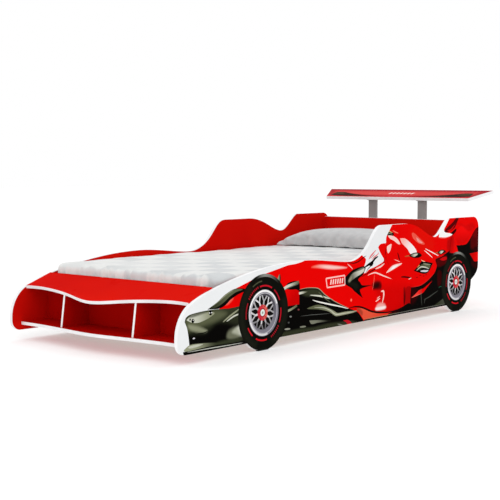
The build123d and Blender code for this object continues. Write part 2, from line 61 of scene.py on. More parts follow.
class Surface:
    """A material under construction: its node tree, and short ways to add nodes to it."""

    def __init__(self, name, roughness, metallic=0.0, specular=0.5, sheen=0.0):
        self.material = bpy.data.materials.new(name)
        self.material.use_nodes = True
        self.tree = self.material.node_tree
        self.shader = self.tree.nodes["Principled BSDF"]
        self.shader.inputs["Roughness"].default_value = roughness
        self.shader.inputs["Metallic"].default_value = metallic
        self.shader.inputs["Specular IOR Level"].default_value = specular
        self.shader.inputs["Sheen Weight"].default_value = sheen
        self.place = self.tree.nodes.new("ShaderNodeTexCoord").outputs["Object"]

    def node(self, kind, **values):
        """Add a node, set its properties, and connect or set its inputs."""
        made = self.tree.nodes.new(kind)
        for key, value in values.items():
            name = key.replace("_", " ")
            if name in made.inputs:
                if isinstance(value, bpy.types.NodeSocket):
                    self.tree.links.new(value, made.inputs[name])
                else:
                    made.inputs[name].default_value = value
            else:
                setattr(made, key, value)
        return made

    def scaled(self, x, y, z):
        """Object coordinates stretched along the axes."""
        mapping = self.node("ShaderNodeMapping", Vector=self.place)
        mapping.inputs["Scale"].default_value = (x, y, z)
        return mapping.outputs["Vector"]

    def noise(self, scale, detail=3.0, place=None, roughness=0.5):
        """Values of a noise texture."""
        texture = self.node(
            "ShaderNodeTexNoise", Vector=place or self.place, Scale=scale, Detail=detail, Roughness=roughness
        )
        return texture.outputs["Fac"]

    def ramp(self, value, *stops):
        """Colour from a value through (position, colour) stops."""
        ramp = self.tree.nodes.new("ShaderNodeValToRGB")
        self.tree.links.new(value, ramp.inputs["Fac"])
        elements = ramp.color_ramp.elements
        while len(elements) < len(stops):
            elements.new(0.5)
        for element, (position, colour) in zip(elements, stops):
            element.position = position
            element.color = (*colour, 1)
        return ramp.outputs["Color"]

    def range(self, value, low, high, to_low, to_high):
        """A value moved from one range to another, held at its ends."""
        made = self.tree.nodes.new("ShaderNodeMapRange")
        self.tree.links.new(value, made.inputs["Value"])
        for name, number in zip(("From Min", "From Max", "To Min", "To Max"), (low, high, to_low, to_high)):
            made.inputs[name].default_value = number
        return made.outputs["Result"]

    def maths(self, operation, first, second=0.0):
        """Result of a sum on one or two values."""
        made = self.tree.nodes.new("ShaderNodeMath")
        made.operation = operation
        for socket, value in zip(made.inputs, (first, second)):
            if isinstance(value, bpy.types.NodeSocket):
                self.tree.links.new(value, socket)
            else:
                socket.default_value = value
        return made.outputs["Value"]

    def mix(self, share, first, second, blend="MIX"):
        """Colour between two colours, or their product with blend="MULTIPLY"."""
        made = self.tree.nodes.new("ShaderNodeMix")
        made.data_type = "RGBA"
        made.blend_type = blend
        for socket, value in ((made.inputs[0], share), (made.inputs[6], first), (made.inputs[7], second)):
            if isinstance(value, bpy.types.NodeSocket):
                self.tree.links.new(value, socket)
            else:
                socket.default_value = (*value, 1) if isinstance(value, tuple) else value
        return made.outputs[2]

    def colour(self, value):
        self.tree.links.new(value, self.shader.inputs["Base Color"])

    def rough(self, value):
        self.tree.links.new(value, self.shader.inputs["Roughness"])

    def bump(self, height, distance, strength=1.0):
        """Relief from a height value, over any relief set before."""
        made = self.node("ShaderNodeBump", Height=height, Distance=distance, Strength=strength)
        before = self.shader.inputs["Normal"].links
        if before:
            self.tree.links.new(before[0].from_socket, made.inputs["Normal"])
        self.tree.links.new(made.outputs["Normal"], self.shader.inputs["Normal"])


# ---------------------------------------------------------------- Materials


def lacquered_board(name, base, dark):
    """Gloss coloured foil on a flat board, with faint mottling and orange peel."""
    made = Surface(name, 0.34, specular=0.001)
    made.colour(made.ramp(made.noise(2.2, 2.0), (0.35, dark), (0.65, base)))
    made.rough(made.range(made.noise(9.0), 0.3, 0.7, 0.26, 0.36))
    made.bump(made.noise(420.0, 2.0), 0.00012, 0.35)
    return made.material


def edge_band():
    """Satin white plastic edging, with faint scuffs."""
    made = Surface("white_edging", 0.4, specular=0.15)
    made.colour(made.ramp(made.noise(14.0), (0.3, linear(226, 227, 228)), (0.7, linear(243, 243, 244))))
    made.rough(made.range(made.noise(60.0), 0.3, 0.7, 0.34, 0.48))
    made.bump(made.noise(260.0), 0.0001, 0.4)
    return made.material


def planed_wood(name, pale, dark, along):
    """Planed wood, with grain and growth bands along an axis."""
    made = Surface(name, 0.55)
    stretch = (3.0, 60.0, 60.0) if along == "x" else (60.0, 3.0, 60.0)
    place = made.scaled(*stretch)
    bands = made.noise(1.0, 4.0, place, 0.6)
    fibres = made.noise(6.0, 6.0, place, 0.7)
    grain = made.maths("ADD", made.maths("MULTIPLY", bands, 0.7), made.maths("MULTIPLY", fibres, 0.3))
    made.colour(made.ramp(grain, (0.38, dark), (0.62, pale)))
    made.rough(made.range(fibres, 0.3, 0.7, 0.48, 0.66))
    made.bump(fibres, 0.0004, 0.35)
    return made.material


def powder_coat():
    """Satin grey powder coat with its fine texture."""
    made = Surface("grey_powder_coat", 0.42, metallic=0.25)
    grey = made.ramp(made.noise(7.0), (0.3, linear(126, 122, 120)), (0.7, linear(142, 137, 135)))
    made.colour(grey)
    made.bump(made.noise(900.0, 2.0), 0.0002, 0.5)
    return made.material


def moulded_plastic():
    """Black moulded plastic with a fine spark-eroded grain."""
    made = Surface("black_moulding", 0.5)
    made.colour(made.ramp(made.noise(30.0), (0.3, linear(20, 20, 21)), (0.7, linear(34, 34, 36))))
    made.bump(made.noise(1400.0, 2.0), 0.0002, 0.5)
    return made.material


def plated_steel():
    """Zinc-plated steel with a cloudy spangle."""
    made = Surface("zinc_plate", 0.32, metallic=1.0)
    made.colour(made.ramp(made.noise(180.0), (0.3, linear(168, 170, 172)), (0.7, linear(206, 207, 205))))
    made.rough(made.range(made.noise(240.0), 0.3, 0.7, 0.26, 0.42))
    return made.material


def printed_film(name):
    """Glossy printed film: its picture is in the mesh, as the colour of each corner."""
    made = Surface(name, 0.35, specular=0.002)
    picture = made.node("ShaderNodeAttribute", attribute_name="artwork").outputs["Color"]
    tint = made.ramp(made.noise(3.0, 2.0), (0.3, (0.94, 0.94, 0.94)), (0.7, (1.0, 1.0, 1.0)))
    made.colour(made.mix(1.0, picture, tint, "MULTIPLY"))
    made.rough(made.range(made.noise(12.0), 0.3, 0.7, 0.26, 0.36))
    made.bump(made.noise(500.0, 2.0), 0.0001, 0.25)
    return made.material


def woven(name, threads, colour_of, sheen):
    """Plain-woven cotton: threads over and under, with a fuzzy sheen."""
    made = Surface(name, 0.85, sheen=sheen)
    made.shader.inputs["Sheen Roughness"].default_value = 0.6
    weave = None
    for axis in ("x", "y"):
        wave = made.tree.nodes.new("ShaderNodeTexWave")
        wave.bands_direction = axis.upper()
        made.tree.links.new(made.place, wave.inputs["Vector"])
        wave.inputs["Scale"].default_value = threads
        wave.inputs["Distortion"].default_value = 0.6
        wave.inputs["Detail Scale"].default_value = 2.0
        value = wave.outputs["Fac"]
        weave = value if weave is None else made.maths("MAXIMUM", weave, value)
    made.colour(colour_of(made, made.noise(26.0, 4.0)))
    made.bump(weave, 0.00025, 0.35)
    made.bump(made.noise(70.0, 4.0), 0.0012, 0.3)
    return made.material


def checked(made, cloudy):
    """White cotton with a faint grey racing check, its edges a little soft."""
    check_size = 0.125
    wobble = made.node("ShaderNodeTexNoise", Vector=made.place, Scale=5.0, Detail=1.0).outputs["Color"]
    moved = made.node("ShaderNodeVectorMath", operation="MULTIPLY_ADD")
    made.tree.links.new(wobble, moved.inputs[0])
    moved.inputs[1].default_value = (0.035, 0.035, 0.0)
    made.tree.links.new(made.place, moved.inputs[2])
    parts = made.node("ShaderNodeSeparateXYZ", Vector=moved.outputs["Vector"]).outputs
    shares = []
    for axis in ("X", "Y"):
        turn = made.maths("SINE", made.maths("MULTIPLY", parts[axis], math.pi / check_size))
        shares.append(made.range(turn, -0.12, 0.12, -1.0, 1.0))
    squares = made.maths("MULTIPLY", shares[0], shares[1])
    grey = made.range(squares, -1.0, 1.0, 0.0, 1.0)
    patchy = made.maths("MULTIPLY", grey, made.range(made.noise(2.4, 1.0), 0.35, 0.6, 0.35, 1.0))
    cloth = made.mix(patchy, linear(221, 222, 220), linear(199, 202, 203))
    shade = made.ramp(cloudy, (0.3, (0.95, 0.95, 0.955)), (0.7, (1.0, 1.0, 1.0)))
    return made.mix(1.0, cloth, shade, "MULTIPLY")


def plain_grey(made, cloudy):
    """Pale grey cotton."""
    return made.ramp(cloudy, (0.3, linear(172, 173, 174)), (0.7, linear(188, 188, 188)))


red_board = lacquered_board("red_lacquer", linear(212, 20, 9), linear(202, 14, 7))
# A darker copy of the red lacquer: painted shade for the boards low inside the shelf.
painted_shade_board = lacquered_board("red_lacquer_painted_shade", linear(190, 11, 5), linear(180, 9, 4))
print_film = printed_film("printed_film")
wing_film = printed_film("printed_wing_film")
spruce = planed_wood("spruce_slat", linear(226, 198, 152), linear(196, 160, 112), "x")
beech = planed_wood("beech_dowel", linear(208, 170, 128), linear(178, 136, 96), "x")
cleat_wood = planed_wood("spruce_cleat", linear(226, 198, 152), linear(196, 160, 112), "y")
cover_cloth = woven("checked_cotton", 320.0, checked, 0.15)
pillow_cloth = woven("grey_cotton", 320.0, plain_grey, 0.2)
finishes = {
    "red_board": red_board,
    "white_edge": edge_band(),
    "side_print": print_film,
    "wing_print": wing_film,
    "beech": beech,
    "spruce": spruce,
    "grey_post": powder_coat(),
    "black_plastic": moulded_plastic(),
    "zinc": plated_steel(),
    "foam": pillow_cloth,
    "cover_cloth": cover_cloth,
    "pillow_cloth": pillow_cloth,
}

SLOT_OF = {
    "red_board": ["side_panel", "shelf_divider", "hood_panel", "bottom_shelf", "footboard", "headboard",
                  "rear_rail"],
    "white_edge": ["side_edging", "divider_edging", "hood_edging", "shelf_edging", "headboard_edging",
                   "wing_edging", "wing_board"],
    "side_print": ["side_graphic"],
    "wing_print": ["wing_graphic"],
    "beech": ["divider_dowels", "dowels"],
    "spruce": ["side_cleat", "slat"],
    "grey_post": ["wing_post", "wing_plate"],
    "black_plastic": ["floor_glides", "post_cap"],
    "zinc": ["cleat_screws", "divider_screws", "cam_locks", "cam_bolts", "slat_screws", "post_screws",
             "wing_screws"],
    "foam": ["mattress"],
    "cover_cloth": ["mattress_cover"],
    "pillow_cloth": ["pillow"],
}

OWN_FINISH_AND_PAINTED_SHADE = {
    "side_cleat": cleat_wood,
    # The footboard, bottom shelf and shelf dividers take the darker lacquer copy, which is painted shade.
    "footboard": painted_shade_board,
    "bottom_shelf": painted_shade_board,
    "shelf_divider": painted_shade_board,
}


def plain_name(name):
    """A node's name without its side or number."""
    stem, _, last = name.rpartition("_")
    return stem if last in ("right", "left") or last.isdigit() else name


for slot_name, stems in SLOT_OF.items():
    for name, node in nodes.items():
        if plain_name(name) in stems:
            node.data.materials.clear()
            material = OWN_FINISH_AND_PAINTED_SHADE.get(plain_name(name), finishes[slot_name])
            node.data.materials.append(material)

# ---------------------------------------------------------------- Printed artwork

PAPER = (233, 235, 236)
RED = (228, 3, 2)
DEEP_RED = (196, 2, 2)
DARK_RED = (148, 3, 4)
MAROON = (84, 3, 5)
WINE = (44, 3, 5)
BLACK = (8, 7, 6)
SOOT = (24, 25, 18)
OLIVE = (50, 54, 37)
MOSS = (92, 96, 70)
KHAKI = (146, 149, 122)
BONE = (204, 206, 190)
SILVER = (208, 206, 212)
STEEL = (128, 126, 136)
IRON = (74, 72, 78)
PINK = (246, 120, 100)
BLUSH = (248, 206, 198)
ORANGE = (226, 84, 58)
WHITE = (246, 246, 244)
WHEELS = ((-642, 140.5), (815, 140.5))


def rounded(points, closed=True, steps=5):
    """Smooth line through given points. A point that stands twice in a row is a sharp corner."""
    knots = []
    sharp = []
    for point in points:
        if knots and knots[-1] == point:
            sharp[-1] = True
        else:
            knots.append(point)
            sharp.append(False)
    count = len(knots)
    spans = count if closed else count - 1
    made = []
    for start in range(spans):
        end = (start + 1) % count
        b = np.array(knots[start], float)
        c = np.array(knots[end], float)
        first = sharp[start] or (not closed and start == 0)
        last = sharp[end] or (not closed and end == count - 1)
        a = b if first else np.array(knots[start - 1], float)
        d = c if last else np.array(knots[(end + 1) % count], float)
        slope_in = (c - a) * 0.42
        slope_out = (d - b) * 0.42
        for step in range(steps):
            t = step / steps
            made.append(
                (2 * t**3 - 3 * t**2 + 1) * b
                + (t**3 - 2 * t**2 + t) * slope_in
                + (3 * t**2 - 2 * t**3) * c
                + (t**3 - t**2) * slope_out
            )
    if not closed:
        made.append(np.array(knots[-1], float))
    return np.array(made)


def ribbon(points, width, pointed=True):
    """Outline of a stroke along a smooth line, thinning out to its ends or of even width."""
    line = rounded(points, closed=False)
    along = np.gradient(line, axis=0)
    along /= np.linalg.norm(along, axis=1)[:, None]
    share = np.linspace(0, 1, len(line))
    half = 0.5 * width * (np.sin(np.pi * share) ** 0.6 * 0.92 + 0.08 if pointed else np.ones(len(line)))
    across = np.stack([-along[:, 1], along[:, 0]], axis=1) * half[:, None]
    return np.concatenate([line + across, (line - across)[::-1]])


def arc(centre, radius, start, end, steps):
    """Points on a circle between two angles in degrees."""
    angles = np.radians(np.linspace(start, end, steps))
    return np.stack([centre[0] + radius * np.cos(angles), centre[1] + radius * np.sin(angles)], axis=1)


def disc(centre, radius, flat=1.0):
    """Outline of a circle or of an ellipse."""
    made = arc((0, 0), radius, 0, 360, max(12, int(radius / 1.6)) + 1)[:-1]
    return made * (1.0, flat) + np.array(centre, float)


def band(centre, inner, outer, start, end):
    """Outline of part of a ring."""
    steps = max(3, int(abs(end - start) / 5) + 1)
    return np.concatenate([arc(centre, outer, start, end, steps), arc(centre, inner, end, start, steps)])


def signed_area(outline):
    """Area of an outline, negative when it runs clockwise."""
    following = np.roll(outline, -1, axis=0)
    return 0.5 * np.sum(outline[:, 0] * following[:, 1] - following[:, 0] * outline[:, 1])


def walk(outline, spacing):
    """Evenly spaced points along a closed outline, and the outward direction at each."""
    ends = np.roll(outline, -1, axis=0)
    lengths = np.linalg.norm(ends - outline, axis=1)
    reach = np.concatenate([[0], np.cumsum(lengths)])
    at = np.linspace(0, reach[-1], max(4, int(reach[-1] / spacing)), endpoint=False)
    looped = np.concatenate([outline, outline[:1]])
    made = np.stack([np.interp(at, reach, looped[:, axis]) for axis in (0, 1)], axis=1)
    along = np.roll(made, -1, axis=0) - np.roll(made, 1, axis=0)
    along /= np.maximum(np.linalg.norm(along, axis=1), 1e-9)[:, None]
    return made, np.stack([along[:, 1], -along[:, 0]], axis=1)


def depth_in(outline, points):
    """How far points are inside an outline, in its unit; negative outside."""
    nearest = np.full(len(points), 1e9)
    inside = np.zeros(len(points), bool)
    for a, b in zip(outline, np.roll(outline, -1, axis=0)):
        edge = b - a
        length = max(float(edge @ edge), 1e-12)
        share = np.clip(((points - a) @ edge) / length, 0, 1)
        gap = points - a - share[:, None] * edge
        nearest = np.minimum(nearest, np.einsum("ij,ij->i", gap, gap))
        crosses = (a[1] > points[:, 1]) != (b[1] > points[:, 1])
        if abs(edge[1]) > 1e-12:
            at = a[0] + (points[:, 1] - a[1]) * edge[0] / edge[1]
            inside ^= crosses & (points[:, 0] < at)
    return np.where(inside, 1, -1) * np.sqrt(nearest)


class Artwork:
    """A flat picture in millimetres. Crisp shapes are cut into its mesh; soft ones shade its points."""

    def __init__(self, paper):
        self.paper = paper
        self.layers = []

    def add(self, outline, colour, fade=None, soft=0.0, opacity=1.0, within=None):
        """Paint an outline. fade is (other colour, from point, to point). Returns the layer's number."""
        outline = np.array(outline, float)
        if signed_area(outline) < 0:
            outline = outline[::-1]
        self.layers.append((outline, colour, fade, soft, opacity, within))
        return len(self.layers) - 1

    def shape(self, colour, points, **look):
        return self.add(rounded(points), colour, **look)

    def stroke(self, colour, width, points, pointed=True, **look):
        return self.add(ribbon(points, width, pointed), colour, **look)

    def layer_colour(self, layer, points):
        """A layer's colour at each point."""
        _, colour, fade, _, _, _ = layer
        first = np.array(linear(*colour))
        if fade is None:
            return np.tile(first, (len(points), 1))
        second, start, end = fade
        run = np.array(end, float) - np.array(start, float)
        share = np.clip((points - np.array(start, float)) @ run / (run @ run), 0, 1)
        share = (share * share * (3 - 2 * share))[:, None]
        return first * (1 - share) + np.array(linear(*second)) * share

    def build(self, name, rim, grid, to_space, thickness):
        """Make the closed film. rim is its outline in mm, and to_space puts (u, v, height) in the frame."""
        faces_in = [list(range(len(rim)))]
        points_in = [np.array(rim, float)]
        crisp = [number for number, layer in enumerate(self.layers) if layer[3] == 0]
        for number in crisp:
            outline = self.layers[number][0]
            first = sum(len(part) for part in points_in)
            faces_in.append(list(range(first, first + len(outline))))
            points_in.append(outline)
        low = np.min(rim, axis=0)
        high = np.max(rim, axis=0)
        rows = np.arange(low[1] + grid / 2, high[1], grid * 0.87)
        field = []
        for row, height in enumerate(rows):
            across = np.arange(low[0] + (row % 2) * grid / 2, high[0], grid)
            field.append(np.stack([across, np.full(len(across), height)], axis=1))
        field = np.concatenate(field)
        field = field[depth_in(np.array(rim, float), field) > grid * 0.4]
        points_in.append(field)
        for outline, _, _, soft, _, _ in self.layers:
            if soft > 0:
                spaced = walk(outline, max(soft * 0.7, grid * 0.6))
                for shift in (-soft, 0.0, soft):
                    ring = spaced[0] + spaced[1] * shift
                    points_in.append(ring[depth_in(np.array(rim, float), ring) > 1.5])
        stack = [Vector(p) for p in np.concatenate(points_in)]
        verts, _, triangles, _, _, covering = delaunay_2d_cdt(stack, [], faces_in, 0, 1e-4, True)
        inside = [i for i, cover in enumerate(covering) if 0 in cover]
        points = np.array([tuple(v) for v in verts])
        triangles = np.array([triangles[i] for i in inside])
        covers = np.zeros((len(triangles), len(self.layers)), bool)
        for row, i in enumerate(inside):
            for face in covering[i]:
                if face > 0:
                    covers[row, crisp[face - 1]] = True
        colours = np.tile(np.array(linear(*self.paper)), (len(triangles), 3, 1))
        for number, layer in enumerate(self.layers):
            outline, _, _, soft, opacity, within = layer
            if soft == 0:
                rows = np.nonzero(covers[:, number])[0]
                if within is not None:
                    rows = rows[covers[rows][:, within].any(axis=1)]
                share = np.full((len(rows), 3, 1), opacity)
            else:
                near_low = outline.min(0) - soft
                near_high = outline.max(0) + soft
                near = np.all((points > near_low) & (points < near_high), axis=1)
                depth = np.full(len(points), -1e9)
                depth[near] = depth_in(outline, points[near])
                ease = np.clip(depth / (2 * soft) + 0.5, 0, 1)
                ease = ease * ease * (3 - 2 * ease) * opacity
                rows = np.nonzero(ease[triangles].max(axis=1) > 0)[0]
                if within is not None:
                    rows = rows[covers[rows][:, within].any(axis=1)]
                share = ease[triangles[rows]][:, :, None]
            if len(rows):
                ink = self.layer_colour(layer, points[triangles[rows]].reshape(-1, 2)).reshape(-1, 3, 3)
                colours[rows] = colours[rows] * (1 - share) + ink * share
        return closed_film(name, points, triangles, colours, to_space, thickness)


def closed_film(name, points, triangles, colours, to_space, thickness):
    """Mesh object of a thin closed film, with the colours of its front face's corners."""
    used = np.unique(triangles)
    renumber = np.full(len(points), -1)
    renumber[used] = np.arange(len(used))
    triangles = renumber[triangles]
    points = points[used]
    following = {}
    for a, b, c in triangles:
        for start, end in ((a, b), (b, c), (c, a)):
            following[(int(start), int(end))] = True
    rim_next = {a: b for a, b in following if (b, a) not in following}
    start = min(rim_next)
    loop = [start]
    while rim_next[loop[-1]] != start:
        loop.append(rim_next[loop[-1]])
    front = [to_space(u, v, thickness) for u, v in points]
    back = [to_space(points[i][0], points[i][1], 0.0) for i in loop]
    faces = [tuple(int(i) for i in t) for t in triangles]
    first = len(front)
    for step, (a, b) in enumerate(zip(loop, loop[1:] + loop[:1])):
        following_step = (step + 1) % len(loop)
        faces.append((b, a, first + step, first + following_step))
    faces.append(tuple(first + step for step in reversed(range(len(loop)))))
    mesh = bpy.data.meshes.new(name)
    mesh.from_pydata(front + back, [], faces)
    ink = mesh.color_attributes.new("artwork", "FLOAT_COLOR", "CORNER")
    values = np.ones((len(mesh.loops), 4), np.float32)
    values[:, :3] = linear(*PAPER)
    count = len(triangles) * 3
    values[:count, :3] = colours.reshape(-1, 3)
    ink.data.foreach_set("color", values.ravel())
    made = bpy.data.objects.new(name, mesh)
    bpy.context.scene.collection.objects.link(made)
    return made


def rim_of(node, axis_value):
    """Outline (mm) of a flat CAD film: axis_value turns a vertex into (u, v, height)."""
    mesh = nodes[node].data
    flat = [axis_value(v.co) for v in mesh.vertices]
    top = max(p[2] for p in flat)
    edges = set()
    for polygon in mesh.polygons:
        corners = [flat[i] for i in polygon.vertices]
        if all(abs(c[2] - top) < 0.02 for c in corners):
            keys = [(round(c[0], 3), round(c[1], 3)) for c in corners]
            edges.update(zip(keys, keys[1:] + keys[:1]))
    following = {a: b for a, b in edges if (b, a) not in edges}
    start = min(following)
    loop = [start]
    while following[loop[-1]] != start:
        loop.append(following[loop[-1]])
    loop = np.array(loop)
    return loop if signed_area(loop) > 0 else loop[::-1]


def draw_wheel(art, middle):
    """A slick tyre with red sidewall dashes, and a ten-spoke rim."""
    y, z = middle
    hub = (y - 7, z + 2)
    art.add(disc(middle, 146), (15, 16, 12))
    art.add(band(middle, 112, 139, 125, 250), (28, 30, 22), soft=12, opacity=0.8)
    art.add(band(middle, 112, 139, -70, 20), (26, 28, 21), soft=12, opacity=0.7)
    art.add(band(middle, 135, 146, 86, 112), (134, 136, 130), fade=((20, 21, 16), (y + 8, z), (y - 46, z)))
    art.add(band(middle, 135, 146, 50, 86), (134, 136, 130), fade=((20, 21, 16), (y + 8, z), (y + 92, z)))
    art.add(band(middle, 118, 123, 95, 122), MOSS, opacity=0.6)
    art.add(disc(middle, 95), BLACK, soft=6)
    for start, end, colour in (
        (103, 62, (190, 20, 36)),
        (53, 23, (170, 18, 36)),
        (6, -26, (186, 16, 34)),
        (-80, -117, (214, 20, 30)),
        (-130, -153, (204, 22, 34)),
        (188, 154, (150, 22, 32)),
    ):
        art.add(band(middle, 99, 105, start, end), colour)
    for first, count in ((-33, 7), (146, 8)):
        for step in range(count):
            angle = first - step * 5
            art.add(band(middle, 99, 107, angle, angle - 2.6), (176, 22, 38))
    rim = art.add(disc(middle, 87), SILVER, fade=(STEEL, (y - 60, z + 60), (y + 62, z - 50)))
    art.add(band(middle, 76, 78, 0, 359), IRON, fade=(SILVER, (y - 30, z + 70), (y + 20, z - 60)))
    art.add(band(middle, 79, 86, 20, 160), WHITE, opacity=0.8, within=[rim])
    art.add(band(middle, 79, 85, 200, 285), WHITE, opacity=0.7, within=[rim])
    art.add(disc(middle, 73), IRON, fade=(STEEL, (y - 10, z + 60), (y, z - 70)))
    art.add(disc(hub, 63), (16, 14, 13))
    spokes = 10
    for number in range(spokes):
        angle = 360 / spokes * number + 8
        shine = (214, 212, 214) if number % 2 else (172, 170, 172)
        trunk = np.concatenate([arc(hub, 46, angle - 5, angle + 5, 2), arc(hub, 28, angle + 8, angle - 8, 2)])
        art.add(trunk, shine)
        for turn in (-1, 1):
            tip = angle + turn * 13
            inner = arc(hub, 42, angle - 4, angle + 4, 2)
            branch = np.concatenate([inner, arc(hub, 66, tip + 3.4, tip - 3.4, 2)])
            art.add(branch, shine, fade=(IRON, (y, z + 30), (y, z - 90)))
    art.add(disc(hub, 30), (206, 48, 62), fade=((224, 108, 96), (y - 20, z), (y + 20, z)))
    for number in range(spokes):
        angle = 360 / spokes * number + 26
        art.add(band(hub, 22, 28, angle - 4, angle + 4), (132, 24, 36))
    art.add(disc(hub, 18), (158, 34, 48))
    art.add(disc(hub, 13), (222, 232, 226))
    art.add(disc(hub, 5), (150, 160, 150))


def draw_front_wing(art):
    """Dark end plate of the front wing, with the arm above it and the red wedge between them."""
    art.shape(RED, [(-892, 180), (-892, 180), (-860, 192), (-826, 213), (-790, 227), (-755, 233),
        (-700, 232), (-700, 170), (-700, 170), (-840, 176)], fade=((214, 4, 3), (-850, 180), (-760, 230)))
    art.shape(PINK, [(-862, 194), (-832, 214), (-812, 222), (-820, 206), (-845, 192)], soft=5, opacity=0.7)
    arm = art.shape(BLACK, [(-952, 184), (-952, 184), (-900, 206), (-860, 228), (-820, 242), (-790, 245),
        (-750, 240), (-725, 232), (-760, 229), (-790, 222), (-828, 208), (-858, 190), (-892, 181)])
    art.shape(OLIVE, [(-948, 186), (-948, 186), (-900, 205), (-860, 227), (-820, 241), (-790, 243),
        (-762, 238), (-800, 232), (-835, 218), (-868, 200), (-905, 187)], fade=(MOSS, (-930, 185),
        (-830, 232)))
    art.stroke(KHAKI, 7, [(-925, 194), (-880, 215), (-845, 232), (-815, 239)], opacity=0.7, within=[arm])
    plate = art.shape(OLIVE, [(-1067, 152), (-1067, 152), (-1061, 166), (-1040, 175), (-985, 180),
        (-925, 181), (-840, 177), (-700, 170), (-700, 36), (-700, 36), (-1045, 36), (-1045, 36),
        (-1045, 75), (-1054, 125)], fade=(SOOT, (-960, 165), (-950, 60)))
    inside = {"within": [plate]}
    art.shape(BLACK, [(-1048, 104), (-1010, 106), (-960, 104), (-905, 132), (-850, 128), (-790, 104),
        (-760, 76), (-860, 60), (-1000, 58), (-1046, 70)], soft=14, **inside)
    art.shape(MOSS, [(-1062, 148), (-1040, 172), (-980, 178), (-900, 176), (-850, 160), (-900, 140),
        (-980, 128), (-1050, 118)], soft=12, opacity=0.85, **inside)
    art.shape(KHAKI, [(-1058, 158), (-1058, 158), (-1034, 171), (-980, 177), (-925, 173), (-917, 165),
        (-950, 152), (-995, 143), (-1030, 146)], fade=(BONE, (-930, 168), (-1030, 150)), opacity=0.9)
    art.shape(OLIVE, [(-1050, 168), (-1000, 178), (-940, 178), (-985, 170), (-1030, 164)],
        soft=4, opacity=0.8, **inside)
    art.shape(KHAKI, [(-1048, 141), (-1000, 130), (-955, 112), (-966, 105), (-1002, 110), (-1038, 122)],
        soft=6, opacity=0.8, **inside)
    art.stroke(BLACK, 4, [(-1004, 106), (-975, 104), (-952, 108)])
    art.stroke(KHAKI, 7, [(-872, 131), (-830, 150), (-780, 170)])
    art.stroke(BONE, 6, [(-852, 131), (-812, 146), (-770, 153)])
    art.shape(BONE, [(-822, 90), (-792, 106), (-760, 108), (-745, 80), (-768, 70), (-800, 80)],
        soft=7, opacity=0.85, **inside)
    art.shape(KHAKI, [(-840, 96), (-800, 104), (-780, 70), (-820, 60), (-850, 74)],
        soft=8, opacity=0.5, **inside)
    art.shape(OLIVE, [(-900, 62), (-820, 66), (-760, 62), (-780, 52), (-860, 52)], soft=6, **inside)
    for place, radius in (((-1026, 152), 7.5), ((-936, 171), 9), ((-1040, 158), 4)):
        art.add(disc(place, radius), BLACK)
    art.add(disc((-1024, 154), 1.8), WHITE)
    art.add(disc((-941, 171), 2.4), WHITE)
    art.add(disc((-930, 171), 2.4), WHITE)
    art.add(disc((-1022, 91), 6, 0.5), SILVER)
    art.shape(KHAKI, [(-1072, 56), (-1072, 56), (-1050, 68), (-1025, 71), (-965, 68), (-880, 59),
        (-865, 54), (-960, 53), (-1060, 50)], fade=(OLIVE, (-1030, 60), (-900, 60)))
    art.shape(BONE, [(-1050, 64), (-1020, 68), (-975, 66), (-1000, 60), (-1040, 58)], opacity=0.7)
    art.shape(BLACK, [(-1075, 50), (-1075, 50), (-1050, 50), (-700, 48), (-700, 30), (-1050, 30),
        (-1073, 42)])
    art.stroke((184, 186, 176), 3.4, [(-1056, 47), (-960, 46.5), (-860, 45), (-762, 44)])


def draw_suspension(art):
    """Arms and dark gaps between the front wheel and the barge board."""
    art.shape(DEEP_RED, [(-520, 214), (-520, 214), (-425, 214), (-425, 214), (-425, 146), (-425, 146),
        (-540, 146), (-540, 146)], fade=((222, 4, 4), (-470, 150), (-520, 210)))
    art.shape(BLACK, [(-512, 222), (-500, 239), (-468, 245), (-440, 244), (-424, 234), (-424, 205),
        (-445, 212), (-480, 214)])
    art.stroke(BONE, 11, [(-530, 218), (-500, 228), (-465, 234), (-428, 239)],
        pointed=False, fade=(MOSS, (-500, 230), (-425, 238)))
    art.stroke((96, 98, 84), 3, [(-528, 213), (-495, 221), (-462, 227), (-430, 231)])
    art.shape(KHAKI, [(-563, 254), (-556, 270), (-546, 279), (-541, 262), (-545, 250)],
        fade=(BLACK, (-556, 262), (-544, 262)))


